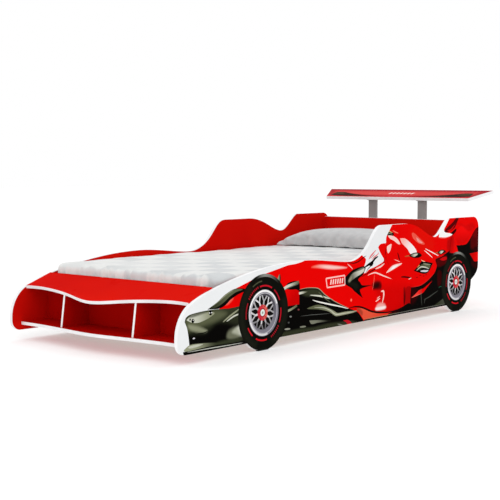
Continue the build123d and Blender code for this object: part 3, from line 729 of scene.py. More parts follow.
def draw_barge_board(art):
    """Black board beside the cockpit, with its pale edges and folds, and the floor below."""
    board = art.shape(BLACK, [(-560, 152), (-560, 152), (-426, 152), (-426, 152), (-426, 209), (-426, 209),
        (-370, 211), (-302, 203), (-255, 173), (-195, 143), (-140, 121), (-95, 105), (-40, 88), (-15, 75),
        (24, 38), (24, 38), (24, 25), (24, 25), (-560, 25), (-560, 25)])
    inside = {"within": [board]}
    art.shape(OLIVE, [(-426, 200), (-360, 206), (-300, 198), (-262, 172), (-320, 176), (-380, 180)],
        soft=7, opacity=0.9, **inside)
    art.shape(BONE, [(-426, 190), (-426, 190), (-398, 192), (-372, 197), (-400, 200), (-426, 199)],
        fade=(MOSS, (-420, 194), (-375, 197)))
    art.stroke(KHAKI, 3.4, [(-426, 210), (-370, 211.5), (-302, 203.5), (-255, 174), (-195, 144),
        (-140, 122), (-90, 104)])
    art.stroke(BONE, 7, [(-358, 182), (-300, 174), (-262, 166), (-222, 155)])
    art.stroke((232, 232, 224), 6, [(-340, 161), (-300, 150), (-220, 132), (-150, 117), (-92, 102)])
    art.stroke(MOSS, 4, [(-300, 190), (-270, 168), (-215, 138)], **inside)
    art.shape(MOSS, [(-376, 130), (-310, 139), (-255, 127), (-200, 106), (-168, 92), (-110, 92), (-28, 88),
        (-60, 82), (-130, 80), (-178, 80), (-198, 88), (-235, 106), (-300, 120)], fade=(KHAKI, (-330, 130),
        (-175, 86)))
    art.stroke(BONE, 4, [(-330, 131), (-262, 122), (-215, 106), (-182, 88), (-120, 86), (-50, 86)],
        opacity=0.8, **inside)
    art.shape((120, 122, 106), [(-360, 82), (-360, 82), (-300, 77), (-222, 68), (-222, 64), (-300, 67),
        (-345, 66)], fade=(SOOT, (-330, 75), (-230, 66)))
    art.shape(OLIVE, [(-560, 52), (-420, 56), (-330, 52), (-240, 56), (-130, 52), (-60, 48), (-60, 30),
        (-560, 30)], soft=5, opacity=0.9, **inside)
    art.stroke(KHAKI, 9, [(-500, 133), (-475, 138), (-440, 149)], pointed=False, fade=(MOSS, (-495, 135),
        (-440, 148)))
    for y, z, width, colour in (
        (-480, 110, 14, (120, 122, 118)),
        (-492, 88, 12, (70, 72, 70)),
        (-500, 64, 38, (150, 152, 138)),
        (-402, 62, 40, (126, 128, 112)),
        (-430, 132, 12, (120, 60, 62)),
    ):
        art.stroke(colour, 7, [(y - width / 2, z + 1), (y, z), (y + width / 2, z - 1)], **inside)
    art.stroke((92, 94, 90), 2, [(-420, 105), (-350, 103), (-300, 100), (-220, 96)], **inside)
    art.shape((190, 18, 34), [(-130, 57), (-130, 57), (-100, 57), (-80, 50), (-66, 38), (-66, 38),
        (-96, 38), (-108, 48)])
    art.stroke((150, 152, 140), 3, [(-170, 47), (-150, 43), (-134, 41)])


def draw_cockpit(art):
    """White cockpit band, mirror, and the marks on the flank beside them."""
    art.shape((224, 3, 2), [(-420, 300), (-300, 285), (-140, 262), (-90, 232), (-150, 190), (-300, 215),
        (-430, 240)], soft=30, opacity=0.5)
    art.shape(PINK, [(-348, 291), (-300, 297), (-220, 290), (-105, 273), (-200, 273), (-290, 284)],
        fade=(BLUSH, (-340, 290), (-240, 285)), soft=4, opacity=0.9)
    art.stroke(BLUSH, 3.5, [(-100, 287), (-82, 277), (-62, 264)])
    art.shape(PAPER, [(22, 240), (22, 240), (22, 268), (34, 300), (-10, 340), (90, 460), (260, 460),
        (237, 437), (212, 410), (192, 388), (188, 372), (186, 359), (150, 358), (130, 346), (138, 328),
        (156, 308), (172, 292), (168, 280), (140, 271), (100, 261), (60, 254), (40, 244)])
    art.stroke((222, 40, 60), 6, [(56, 296), (70, 310), (88, 320), (112, 334)])
    art.stroke((232, 90, 96), 5, [(78, 292), (96, 304), (120, 312), (134, 322)])
    art.stroke((150, 8, 14), 3, [(66, 300), (84, 308), (104, 318)])
    art.stroke(BLACK, 12, [(22, 264), (52, 274), (84, 284), (104, 298), (128, 305)])
    art.stroke(BLACK, 14, [(62, 270), (76, 276), (92, 278)])
    art.stroke((40, 40, 38), 3.5, [(36, 244), (52, 258), (70, 266), (88, 270)])
    art.shape(RED, [(128, 344), (150, 357), (186, 358), (192, 340), (184, 312), (172, 296), (158, 310),
        (142, 328)])
    art.stroke(MAROON, 5, [(192, 342), (186, 322), (182, 306)])
    art.stroke(BLACK, 5, [(-2, 226), (60, 242), (120, 256), (168, 271), (186, 302)])
    art.stroke(BLUSH, 8, [(106, 253), (146, 260), (178, 272)])
    art.stroke(BLACK, 4.5, [(-104, 297), (-60, 288), (-20, 293), (12, 306), (38, 314)])
    art.shape(BLACK, [(-127, 212), (-113, 236), (-60, 261), (14, 271), (32, 262), (24, 248), (12, 234),
        (-8, 226), (-22, 216), (-6, 204), (10, 191), (86, 186), (86, 186), (10, 179), (-8, 170), (14, 136),
        (14, 136), (-45, 168), (-72, 186)])
    art.shape(SOOT, [(-106, 212), (-60, 190), (-40, 176), (-16, 186), (-40, 208)], soft=8, opacity=0.8)
    art.shape((58, 60, 46), [(-98, 216), (-76, 240), (-30, 257), (17, 266), (24, 254), (8, 242), (-40, 228),
        (-80, 214)], fade=(BONE, (-84, 218), (-6, 262)))
    art.shape(OLIVE, [(-70, 248), (-20, 262), (20, 268), (16, 260), (-30, 252)], opacity=0.8)
    art.stroke(KHAKI, 14, [(-92, 214), (-80, 222), (-68, 234)], soft=5, opacity=0.9)
    art.shape(MAROON, [(84, 190), (112, 201), (146, 196), (158, 178), (150, 163), (110, 164), (92, 166)],
        soft=7, opacity=0.95)
    art.shape(BLACK, [(100, 188), (130, 192), (140, 178), (120, 170), (100, 172)], soft=6, opacity=0.8)
    art.stroke(PINK, 2.6, [(100, 232), (98, 210), (93, 186), (86, 166)])
    art.stroke(BLUSH, 6, [(48, 230), (105, 237), (170, 219), (234, 201)])
    plate = [(-250, 239), (-120, 242), (-118, 203), (-242, 202)]
    for start, end in zip(plate, plate[1:] + plate[:1]):
        art.stroke((250, 190, 184), 6, [start, end], pointed=False)
    for step in range(6):
        y = -222 + step * 16
        art.add([(y, 212), (y + 8, 212), (y + 12, 232), (y + 4, 232)], (246, 214, 208))


def draw_body(art):
    """Glare, vents and slots on the engine cover and side pod."""
    art.shape(DEEP_RED, [(120, 168), (260, 164), (420, 150), (420, 60), (260, 52), (200, 80), (140, 120)],
        soft=22, opacity=0.75)
    art.shape((216, 3, 2), [(180, 60), (280, 70), (350, 150), (350, 180), (240, 190), (180, 150)],
        soft=24, opacity=0.6)
    art.shape(DARK_RED, [(334, 150), (352, 148), (350, 74), (338, 74)], soft=4, opacity=0.9)
    art.shape((170, 2, 3), [(356, 150), (400, 149), (396, 84), (356, 74)])
    art.shape(MAROON, [(345, 146), (352, 110), (346, 80), (338, 90)], soft=4)
    art.shape(ORANGE, [(-32, 97), (-32, 97), (4, 62), (28, 38), (28, 38), (360, 30), (360, 30), (330, 62),
        (230, 57), (145, 62), (80, 74), (30, 92)], fade=(RED, (60, 50), (260, 60)))
    art.shape((120, 40, 30), [(-30, 95), (-10, 96), (14, 78), (6, 62)], soft=5, opacity=0.6)
    art.stroke(BLACK, 8, [(-90, 104), (-50, 106), (-10, 102), (30, 91), (80, 74), (145, 62), (230, 57),
        (340, 66)])
    art.shape(BLACK, [(210, 50), (210, 50), (260, 58), (330, 70), (390, 80), (390, 30), (390, 30),
        (210, 30), (210, 30)], fade=(WINE, (330, 50), (240, 60)))
    art.stroke((170, 12, 10), 3, [(80, 80), (140, 68), (230, 63), (300, 66)])
    # pale figure: a plain upright mark over a glowing foot
    art.shape(BLUSH, [(124, 98), (150, 104), (182, 96), (188, 80), (150, 74), (114, 80)], soft=6,
        opacity=0.6)
    art.shape(WHITE, [(114, 86), (188, 86), (184, 74), (118, 74)], soft=4, opacity=0.8)
    art.stroke(BLUSH, 10, [(152, 152), (172, 152), (174, 130), (162, 100)])
    art.stroke(BLUSH, 6, [(110, 112), (128, 118), (146, 124)])
    art.stroke(BLUSH, 4, [(122, 124), (134, 129), (146, 132)])
    art.add(disc((-72, 136), 6), PINK)
    art.shape(BLUSH, [(192, 229), (245, 259), (322, 263), (262, 244)])
    art.shape(WHITE, [(225, 240), (250, 254), (290, 258), (250, 244)])
    art.stroke((206, 30, 30), 3, [(225, 262), (268, 268), (320, 273)])
    # pod behind the cockpit
    art.shape(BLACK, [(188, 401), (200, 411), (230, 407), (252, 396), (238, 388), (208, 390)])
    art.stroke((206, 176, 110), 5, [(186, 405), (210, 409), (240, 401)])
    art.stroke(KHAKI, 2.5, [(196, 399), (218, 399), (240, 395)])
    art.stroke(PINK, 5, [(240, 412), (262, 404), (288, 397)])
    art.shape(BLUSH, [(205, 391), (242, 388), (278, 374), (304, 350), (286, 350), (252, 366), (222, 376)])
    art.shape(BLUSH, [(198, 344), (232, 353), (224, 326), (207, 314), (198, 326)])
    art.shape((244, 236, 236), [(302, 374), (302, 374), (345, 371), (398, 345), (434, 320), (442, 303),
        (396, 298), (362, 326), (318, 352)], fade=((250, 176, 166), (400, 310), (310, 372)))
    art.shape(PINK, [(400, 391), (416, 394), (452, 376), (508, 344), (504, 336), (456, 346), (412, 370)])
    art.shape(BLUSH, [(440, 372), (470, 358), (494, 346), (480, 344), (450, 354)])
    art.shape((222, 20, 6), [(380, 395), (440, 340), (520, 300), (600, 320), (560, 380), (450, 420)],
        soft=22, opacity=0.5)
    art.shape(WINE, [(280, 312), (290, 306), (303, 280), (294, 282), (288, 296)])
    art.stroke(BLUSH, 2.6, [(258, 283), (282, 277), (304, 270)])
    art.stroke((204, 4, 4), 5, [(190, 310), (196, 286), (214, 262)])
    # slots
    for y, width in ((420, 136), (660, 98)):
        half = width / 2
        art.stroke((176, 90, 50), 6, [(y - half - 10, 291), (y - half + 24, 293), (y, 290)])
        art.shape(BLACK, [(y - half * 0.6, 293), (y - half * 0.1, 303), (y + half * 0.55, 303),
            (y + half, 290), (y + half * 0.7, 280), (y, 281)])
        art.shape(MOSS, [(y - half * 0.4, 293), (y, 299), (y + half * 0.5, 298), (y + half * 0.3, 290),
            (y, 286)], fade=(BONE, (y - half * 0.4, 290), (y + half * 0.2, 293)))
        art.stroke(OLIVE, 3, [(y - half * 0.2, 300), (y + half * 0.3, 302), (y + half * 0.8, 292)])
    # vent
    art.shape(BLACK, [(420, 223), (420, 223), (452, 240), (486, 262), (486, 262), (530, 257), (588, 247),
        (588, 247), (566, 222), (540, 205), (505, 203), (455, 214)])
    art.shape(OLIVE, [(440, 224), (466, 240), (495, 248), (560, 238), (556, 226), (500, 232), (470, 222)],
        fade=(MOSS, (450, 230), (530, 236)))
    art.stroke(KHAKI, 5, [(500, 250), (530, 246), (570, 240)])
    art.stroke(BONE, 6, [(444, 222), (480, 236), (520, 232), (556, 222)])
    art.stroke(SILVER, 9, [(478, 217), (502, 216), (530, 214), (548, 216)])
    art.stroke((240, 190, 150), 4, [(484, 268), (498, 262), (520, 257)])
    art.stroke((244, 170, 90), 4, [(452, 234), (462, 242), (472, 246)])
    for line in ([(509, 310), (545, 293), (584, 272)], [(516, 318), (580, 297), (644, 276)]):
        art.stroke(WHITE, 4, line)
    art.stroke(BLACK, 7, [(312, 203), (344, 201), (400, 193)])
    art.stroke(BLUSH, 4, [(376, 188), (388, 190), (400, 192)])
    for y, z in ((470, 198), (500, 192), (520, 196), (440, 190)):
        art.stroke(MAROON, 3, [(y, z), (y + 8, z + 1), (y + 16, z)])


def draw_rear(art):
    """Dark gap in front of the rear wheel, the blade over it and the floor edge."""
    gap = art.shape(BLACK, [(392, 60), (392, 60), (394, 110), (398, 150), (398, 150), (478, 151),
        (544, 170), (600, 198), (624, 231), (612, 262), (680, 275), (760, 300), (900, 300), (900, 25),
        (900, 25), (392, 25), (392, 25)])
    inside = {"within": [gap]}
    art.shape(WINE, [(398, 140), (440, 140), (470, 120), (430, 80), (400, 80)], soft=12, **inside)
    art.shape((52, 3, 5), [(632, 205), (668, 200), (664, 142), (634, 142)], soft=5, **inside)
    art.shape(MAROON, [(604, 250), (640, 268), (712, 276), (716, 240), (650, 226), (624, 232)],
        soft=6, opacity=0.8, **inside)
    art.shape((196, 6, 12), [(650, 260), (682, 268), (712, 269), (714, 256), (684, 252)])
    art.shape((214, 4, 4), [(600, 250), (612, 262), (640, 272), (700, 283), (720, 292), (660, 282),
        (608, 268)])
    art.shape(RED, [(402, 103), (402, 103), (440, 118), (470, 132), (512, 138), (585, 166), (585, 166),
        (545, 142), (500, 116), (450, 110)], fade=((255, 70, 60), (500, 130), (420, 106)))
    art.stroke(PINK, 2.5, [(404, 102), (450, 109), (496, 115)])
    art.stroke((206, 40, 34), 3, [(400, 150), (478, 152), (544, 171), (598, 199)])
    for line in ([(484, 140), (487, 100), (495, 58)], [(511, 84), (560, 93), (642, 116)],
                 [(515, 66), (520, 82), (530, 88)]):
        art.stroke((66, 70, 64), 5, line)
    art.stroke((40, 96, 70), 3, [(642, 128), (660, 132), (682, 130)])
    art.shape(OLIVE, [(596, 47), (596, 47), (650, 62), (720, 84), (720, 84), (720, 40), (720, 40)],
        fade=((70, 74, 62), (620, 50), (700, 70)))
    floor = [(24, 30), (24, 43.5), (300, 44), (720, 44), (720, 30)]
    art.add(floor, BLACK)
    art.stroke((150, 132, 96), 3, [(30, 45), (160, 45.5), (330, 46)])
    art.stroke((110, 112, 104), 3.4, [(230, 45), (450, 46), (715, 46)])


def draw_tail(art):
    """White flash, fin and dark panels of the tail."""
    art.shape(DARK_RED, [(720, 345), (740, 352), (764, 368), (800, 296), (790, 280), (722, 300)],
        soft=8, opacity=0.6)
    art.shape(MAROON, [(686, 386), (686, 386), (704, 400), (730, 412), (770, 430), (800, 448), (830, 452),
        (812, 430), (790, 404), (760, 392), (716, 383)])
    art.shape(RED, [(716, 420), (716, 420), (760, 430), (790, 446), (760, 470), (720, 460)])
    art.shape((206, 4, 6), [(716, 392), (750, 398), (790, 418), (770, 400), (740, 388)])
    art.shape(WINE, [(738, 374), (760, 382), (800, 398), (802, 386), (778, 372), (764, 370)])
    tail = art.shape(BLACK, [(798, 318), (798, 318), (860, 316), (905, 320), (940, 342), (978, 376),
        (1002, 392), (1040, 402), (1040, 402), (1040, 120), (1040, 120), (800, 120), (800, 120)])
    inside = {"within": [tail]}
    art.shape(MAROON, [(950, 350), (985, 382), (1040, 400), (1040, 300), (990, 290), (950, 300)],
        soft=12, opacity=0.9, **inside)
    art.shape((110, 3, 5), [(968, 372), (1000, 388), (1010, 360), (985, 345)], soft=6, opacity=0.8, **inside)
    art.shape(WINE, [(985, 300), (1040, 300), (1040, 278), (990, 276)], soft=6, **inside)
    art.shape((226, 5, 5), [(938, 271), (938, 271), (1040, 275), (1040, 275), (1040, 231), (1040, 231),
        (992, 228), (968, 246)], fade=((190, 3, 3), (1020, 250), (950, 265)))
    art.shape(WINE, [(960, 236), (990, 224), (1040, 226), (1040, 190), (1000, 196), (960, 214)],
        soft=8, opacity=0.9, **inside)
    art.shape((240, 8, 8), [(800, 372), (830, 402), (880, 412), (930, 400), (944, 372), (920, 336),
        (870, 322), (816, 326)], fade=((206, 3, 3), (860, 400), (860, 320)), soft=7)
    art.shape((196, 3, 4), [(800, 420), (850, 418), (900, 410), (960, 420), (990, 398), (930, 380),
        (860, 408)], soft=8, opacity=0.7)
    art.shape((236, 6, 5), [(764, 368), (775, 362), (792, 330), (806, 318), (830, 276), (830, 276),
        (744, 286), (744, 286), (752, 330)], fade=((190, 4, 4), (806, 300), (756, 320)))
    art.stroke(DARK_RED, 5, [(764, 366), (750, 330), (746, 292)])
    art.shape(WHITE, [(640, 366), (660, 363), (700, 361), (745, 365), (766, 371), (742, 378), (702, 383),
        (688, 391), (690, 402), (712, 424), (742, 460), (700, 470), (672, 425), (650, 392)])
    art.stroke(BLUSH, 4, [(560, 385), (585, 374), (612, 368)])
    art.stroke((250, 150, 140), 3, [(640, 361), (700, 359), (752, 365)])


def car_artwork():
    """The whole printed side: a generic racing car."""
    art = Artwork(PAPER)
    art.shape(RED, [(-800, 176), (-800, 176), (-798, 246), (-798, 246), (-705, 270), (-640, 285),
        (-550, 300), (-495, 309), (-450, 311), (-400, 318), (-380, 330), (-300, 370), (-300, 370), (0, 370),
        (180, 470), (180, 470), (1060, 470), (1060, 470), (1060, 10), (1060, 10), (-700, 10), (-700, 10)])
    draw_body(art)
    draw_cockpit(art)
    draw_rear(art)
    draw_tail(art)
    draw_front_wing(art)
    draw_suspension(art)
    draw_barge_board(art)
    for middle in WHEELS:
        draw_wheel(art, middle)
    return art


def wing_artwork(half_width, depth):
    """The printed top of the wing: dark wedges at its front corners and a plain row of dashes."""
    art = Artwork((190, 42, 48))
    art.shape((212, 76, 72), [(-470, 96), (0, 104), (470, 96), (470, 50), (0, 40), (-470, 50)],
        soft=26, opacity=0.8)
    for side in (-1, 1):
        tip = [(410, 40), (440, 30), (500, 150), (440, 110)]
        wedge = [(420, 30), (420, 30), (414, 86), (414, 86), (366, 86), (310, 64), (240, 44), (150, 28),
            (40, 16), (150, 11), (280, 13), (370, 19)]
        sheen = [(408, 50), (402, 80), (362, 78), (345, 50)]
        tip, wedge, sheen = ([(side * x, y) for x, y in outline] for outline in (tip, wedge, sheen))
        art.shape((150, 30, 36), tip, soft=14, opacity=0.7)
        art.shape((52, 30, 22), wedge, fade=((140, 26, 32), (side * 300, 40), (side * 70, 14)))
        art.shape((88, 66, 42), sheen, soft=7, opacity=0.7)
    for front, rear, colour in ((depth, depth - 24, (156, 32, 44)), (5, 0, (214, 90, 86))):
        art.add([(-half_width, front), (half_width, front), (half_width, rear), (-half_width, rear)], colour)
    for step in range(7):
        x = -72 + step * 22
        art.add([(x, 62), (x + 11, 62), (x + 18, 86), (x + 7, 86)], (246, 226, 220))
    return art


GRID = 6.0
FILM = 0.5
WING_SLOPE = 15.0
side_art = car_artwork()
for side_name, side in (("right", 1), ("left", -1)):
    film_node = f"side_graphic_{side_name}"
    low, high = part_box(film_node)
    inner = (low.x if side > 0 else high.x) / MM
    rim = rim_of(film_node, lambda co: (co.y / MM, co.z / MM, side * co.x / MM))
    film = side_art.build(
        f"side_film_{side_name}", rim, GRID, lambda u, v, h: (side * (abs(inner) + h) * MM, u * MM, v * MM), FILM
    )
    if side < 0:
        film.data.flip_normals()
    film.data.materials.append(print_film)
    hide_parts(film_node)
    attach(film, "bed_frame")

wing_mesh = nodes["wing_graphic"].data
wing_points = np.array([v.co for v in wing_mesh.vertices])
wing_slope = math.radians(WING_SLOPE)
wing_up = np.array((0.0, -math.sin(wing_slope), math.cos(wing_slope)))
wing_along = np.array((0.0, math.cos(wing_slope), math.sin(wing_slope)))
wing_base = float((wing_points @ wing_up).min())
wing_start = float((wing_points @ wing_along).min()) - 1.0 * MM


def on_wing(co):
    """Frame coordinates to the wing's own (u, v, height) in mm."""
    place = np.array(co)
    return (place[0] / MM, (place @ wing_along - wing_start) / MM, (place @ wing_up - wing_base) / MM)


def from_wing(u, v, h):
    """The wing's own (u, v, height) in mm to frame coordinates."""
    place = wing_along * (wing_start + v * MM) + wing_up * (wing_base + h * MM)
    return (u * MM, place[1], place[2])


wing_rim = rim_of("wing_graphic", on_wing)
wing_half = wing_rim[:, 0].max()
wing_depth = wing_rim[:, 1].max()
wing_print = wing_artwork(wing_half, wing_depth).build("wing_film", wing_rim, GRID, from_wing, FILM)
wing_print.data.materials.append(wing_film)
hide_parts("wing_graphic")
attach(wing_print, "bed_frame")

# ---------------------------------------------------------------- Bedding


def remeshed(name, verts, faces, voxel):
    """Closed, evenly meshed object from points and faces."""
    mesh = bpy.data.meshes.new(name)
    mesh.from_pydata(verts, [], faces)
    made = bpy.data.objects.new(name, mesh)
    bpy.context.scene.collection.objects.link(made)
    modifier = made.modifiers.new("even", "REMESH")
    modifier.mode = "VOXEL"
    modifier.voxel_size = voxel
    apply_modifiers(made)
    return made


def apply_modifiers(made):
    """Turn an object's modifiers into its mesh."""
    evaluated = made.evaluated_get(bpy.context.evaluated_depsgraph_get())
    mesh = bpy.data.meshes.new_from_object(evaluated)
    made.modifiers.clear()
    before = made.data
    made.data = mesh
    bpy.data.meshes.remove(before)


def smooth_shaded(made):
    """Show an object's faces as one smooth surface."""
    made.data.polygons.foreach_set("use_smooth", [True] * len(made.data.polygons))


def coordinates(mesh):
    """A mesh's points as rows of x, y, z."""
    values = np.zeros(len(mesh.vertices) * 3, np.float32)
    mesh.vertices.foreach_get("co", values)
    return values.reshape(-1, 3).astype(float)


def rounded_box(low, high, corner, edge):
    """Points and faces of a box with round upright corners and rolled top and bottom edges."""
    steps = 8
    rings = []
    levels = [(low.z, edge)]
    for step in range(1, 5):
        turn = math.pi / 2 * step / 4
        levels.append((low.z + edge * (1 - math.cos(turn)), edge * (1 - math.sin(turn))))
    for step in range(5):
        turn = math.pi / 2 * step / 4
        levels.append((high.z - edge * (1 - math.sin(turn)), edge * (1 - math.cos(turn))))
    for z, pull in levels:
        ring = []
        for quarter, (sx, sy) in enumerate(((1, 1), (-1, 1), (-1, -1), (1, -1))):
            cx = (high.x if sx > 0 else low.x) - sx * corner
            cy = (high.y if sy > 0 else low.y) - sy * corner
            for step in range(steps + 1):
                angle = math.pi / 2 * (quarter + step / steps)
                radius = corner - pull
                ring.append((cx + radius * math.cos(angle), cy + radius * math.sin(angle), z))
        rings.append(ring)
    verts = [p for ring in rings for p in ring]
    count = len(rings[0])
    faces = []
    for level in range(len(rings) - 1):
        for step in range(count):
            following = (step + 1) % count
            a = level * count
            faces.append((a + step, a + following, a + count + following, a + count + step))
    faces.append(tuple(reversed(range(count))))
    faces.append(tuple((len(rings) - 1) * count + step for step in range(count)))
    return verts, faces


def wrinkle_cover(made, low, high):
    """Gathers at the foot and head ends, a slack top and a soft crown."""
    mesh = made.data
    points = coordinates(mesh)
    normals = np.zeros(len(points) * 3, np.float32)
    mesh.vertices.foreach_get("normal", normals)
    normals = normals.reshape(-1, 3)
    moved = np.zeros(len(points))
    for number, (x, y, z) in enumerate(points):
        end_gap = min(y - low.y, high.y - y)
        gather = math.exp(-((max(end_gap, 0.0) / 0.075) ** 1.4))
        lean = 0.25 * (y - low.y)
        wave = noise.noise(Vector((x * 26 + lean, 3.7, z * 2.0)))
        fine = noise.noise(Vector((x * 58 + lean, 9.1, z * 4.0)))
        folds = (abs(wave) * -1.9 + 0.35 + 0.75 * fine) * gather
        side_gap = min(x - low.x, high.x - x)
        side = math.exp(-((max(side_gap, 0.0) / 0.05) ** 2))
        side_wave = noise.noise(Vector((1.3, y * 15, z * 3.0))) * side
        slack = noise.noise(Vector((x * 3.1, y * 2.3, 0.5)))
        crease = noise.noise(Vector((x * 5.0 + y * 4.0, y * 2.0 - x * 3.0, 2.5)))
        top = 0.0035 * slack - 0.0022 * max(0.0, 0.25 - abs(crease)) / 0.25
        moved[number] = 0.0105 * folds + 0.003 * side_wave + top
    points += normals * moved[:, None]
    points[:, 2] = np.maximum(points[:, 2], low.z + 0.0005)
    mesh.vertices.foreach_set("co", points.astype(np.float32).ravel())
    mesh.update()


def make_cover():
    """Mattress in its checked cover, fitted with gathers."""
    low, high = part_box("mattress_cover")
    inset = 0.002
    low = low + Vector((inset, inset, 0.0))
    high = high - Vector((inset, inset, inset))
    voxel = 0.0065
    made = remeshed("mattress_in_cover", *rounded_box(low, high, 0.06, 0.022), voxel)
    wrinkle_cover(made, low, high)
    smooth_shaded(made)
    made.data.materials.clear()
    made.data.materials.append(cover_cloth)
    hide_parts("mattress", "mattress_cover")
    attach(made, "mattress_set")


def pillow_bag(half_width, half_length, thickness, across, along):
    """Two joined layers of cloth lying on each other, wide at the corners."""
    verts = []
    faces = []
    index = {}
    for layer in (1, -1):
        for i in range(across + 1):
            for j in range(along + 1):
                u = -1 + 2 * i / across
                v = -1 + 2 * j / along
                on_rim = i in (0, across) or j in (0, along)
                if on_rim and layer < 0:
                    index[(layer, i, j)] = index[(1, i, j)]
                    continue
                round_u = u * math.sqrt(1 - 0.06 * v**6)
                round_v = v * math.sqrt(1 - 0.06 * u**6)
                height = layer * thickness * ((1 - u**4) * (1 - v**4)) ** 0.5
                index[(layer, i, j)] = len(verts)
                verts.append((round_u * half_width, round_v * half_length, height))
    for layer in (1, -1):
        for i in range(across):
            for j in range(along):
                corners = [(i, j), (i + 1, j), (i + 1, j + 1), (i, j + 1)]
                face = [index[(layer, a, b)] for a, b in corners]
                faces.append(tuple(face if layer > 0 else reversed(face)))
    return verts, faces


def inflate(made, pressure, frames):
    """Blow a closed bag up with the cloth simulation, and keep the result."""
    cloth = made.modifiers.new("cloth", "CLOTH")
    settings = cloth.settings
    settings.quality = 6
    settings.mass = 0.3
    settings.tension_stiffness = 25
    settings.compression_stiffness = 25
    settings.shear_stiffness = 8
    settings.bending_stiffness = 0.15
    settings.use_pressure = True
    settings.uniform_pressure_force = pressure
    settings.effector_weights.gravity = 0
    cloth.collision_settings.use_collision = False
    cloth.collision_settings.use_self_collision = False
    cloth.point_cache.frame_start = 1
    cloth.point_cache.frame_end = frames
    scene = bpy.context.scene
    for step in range(1, frames + 1):
        scene.frame_set(step)
    apply_modifiers(made)
    scene.frame_set(1)


def settle_pillow(points, size):
    """Lay an inflated bag down: full top, low seam, corners drawn out and resting on the cover."""
    reach = np.abs(points).max(axis=0)
    across, along, up = (points / reach).T
    eared_x = across * (1 - 0.045 * (1 - np.abs(along) ** 4))
    eared_y = along * (1 - 0.13 * (1 - np.abs(across) ** 5))
    corner = np.abs(across * along) ** 2.5
    seam = 0.11 * size.z * (1 - corner)
    full = np.where(up > 0, np.abs(up) ** 0.66 * (size.z - seam), -np.abs(up) ** 0.4 * seam)
    made = np.stack([eared_x * size.x / 2, eared_y * size.y / 2, seam + full], axis=1)
    creases = [(-0.28, 0.9), (-0.2, 1.6), (-0.105, 1.8), (0.005, 1.9), (0.11, 1.8), (0.225, 1.5)]
    for number, (x, y, z) in enumerate(made):
        front = math.exp(-(((y + size.y * 0.43) / 0.075) ** 2))
        ends = math.exp(-(((size.x / 2 - abs(x)) / 0.07) ** 2))
        fold = noise.noise(Vector((x * 17 + y * 9, y * 3.0, 1.5)))
        slack = noise.noise(Vector((x * 4.2, y * 4.6, 7.5)))
        lift = 0.006 * fold * front + 0.005 * fold * ends + 0.003 * slack
        made[number, 2] += lift * min(z / 0.03, 1.0)
        if y < -size.y * 0.22:
            for foot, lean in creases:
                gap = (x - foot + lean * z) / 0.013
                fading = max(0.0, 1 - z / 0.06)
                groove = (0.7 * math.exp(-((gap + 1.7) ** 2)) - math.exp(-(gap**2))) * fading
                made[number, 1] -= 0.012 * groove * front
                made[number, 2] += 0.012 * groove * min(z / 0.008, 1.0)
    made[:, 2] = np.maximum(made[:, 2], 0.0)
    made[:, 2] *= (size.z - 0.001) / made[:, 2].max()
    return made


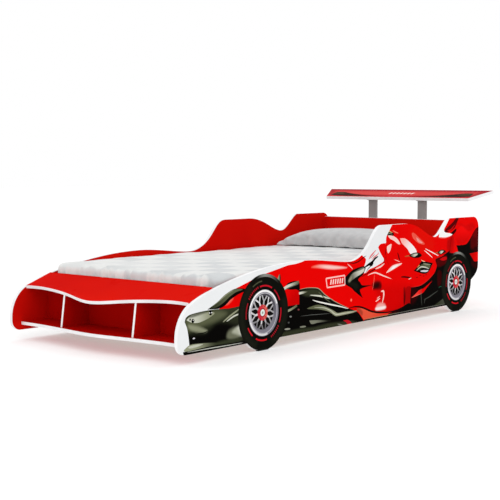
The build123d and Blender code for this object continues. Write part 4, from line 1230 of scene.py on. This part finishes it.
def make_pillow():
    """Soft pillow: an inflated bag, settled on the mattress."""
    low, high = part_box("pillow")
    size = high - low
    middle = (low + high) / 2
    across, along = 48, 32
    verts, faces = pillow_bag(size.x / 2 * 1.06, size.y / 2 * 1.07, 0.022, across, along)
    mesh = bpy.data.meshes.new("pillow_soft")
    mesh.from_pydata(verts, [], faces)
    made = bpy.data.objects.new("pillow_soft", mesh)
    bpy.context.scene.collection.objects.link(made)
    inflate(made, 5.0, 8)
    points = settle_pillow(coordinates(made.data), size) + np.array((middle.x, middle.y, low.z + 0.001))
    made.data.vertices.foreach_set("co", points.astype(np.float32).ravel())
    made.data.update()
    modifier = made.modifiers.new("finer", "SUBSURF")
    modifier.levels = 2
    apply_modifiers(made)
    smooth_shaded(made)
    made.data.materials.clear()
    made.data.materials.append(pillow_cloth)
    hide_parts("pillow")
    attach(made, "pillow_body")


make_cover()
make_pillow()

# ---------------------------------------------------------------- Camera, light and floor


def make_camera():
    """Camera low beside the nose, looking over the right-hand front wheel."""
    data = bpy.data.cameras.new("camera")
    data.lens = 74.63
    data.sensor_width = 36.0
    made = bpy.data.objects.new("camera", data)
    made.location = (2.8835, -3.6005, 0.6504)
    made.rotation_euler = (math.radians(90 - 4.119), 0, math.radians(40.089))
    bpy.context.scene.collection.objects.link(made)
    bpy.context.scene.camera = made


def make_light(name, place, target, size, power):
    """Soft square lamp aimed at a point."""
    data = bpy.data.lights.new(name, "AREA")
    data.shape = "SQUARE"
    data.size = size
    data.energy = power
    made = bpy.data.objects.new(name, data)
    made.location = place
    direction = Vector(target) - Vector(place)
    made.rotation_euler = direction.to_track_quat("-Z", "Y").to_euler()
    bpy.context.scene.collection.objects.link(made)


def make_stage():
    """Pale plain floor, lit from below like a light table, and an even white surround."""
    half = 40.0
    mesh = bpy.data.meshes.new("floor")
    mesh.from_pydata([(-half, -half, 0), (half, -half, 0), (half, half, 0), (-half, half, 0)], [],
        [(0, 1, 2, 3)])
    floor = bpy.data.objects.new("floor", mesh)
    made = Surface("pale_floor", 0.9)
    made.colour(made.ramp(made.noise(1.5), (0.3, (0.69, 0.69, 0.69)), (0.7, (0.71, 0.71, 0.71))))
    made.shader.inputs["Emission Color"].default_value = (1, 1, 1, 1)
    made.shader.inputs["Emission Strength"].default_value = 0.34
    mesh.materials.append(made.material)
    bpy.context.scene.collection.objects.link(floor)
    world = bpy.data.worlds.new("white_surround")
    world.use_nodes = True
    background = world.node_tree.nodes["Background"]
    background.inputs["Color"].default_value = (1, 1, 1, 1)
    background.inputs["Strength"].default_value = 1.0
    bpy.context.scene.world = world


make_camera()
make_light("key_light", (2.2, -3.6, 3.4), (0.2, -0.2, 0.2), 2.6, 22)
make_light("top_light", (-1.2, 0.4, 3.8), (0, 0, 0.2), 3.0, 18)
make_stage()
bpy.context.scene.view_settings.view_transform = "Standard"
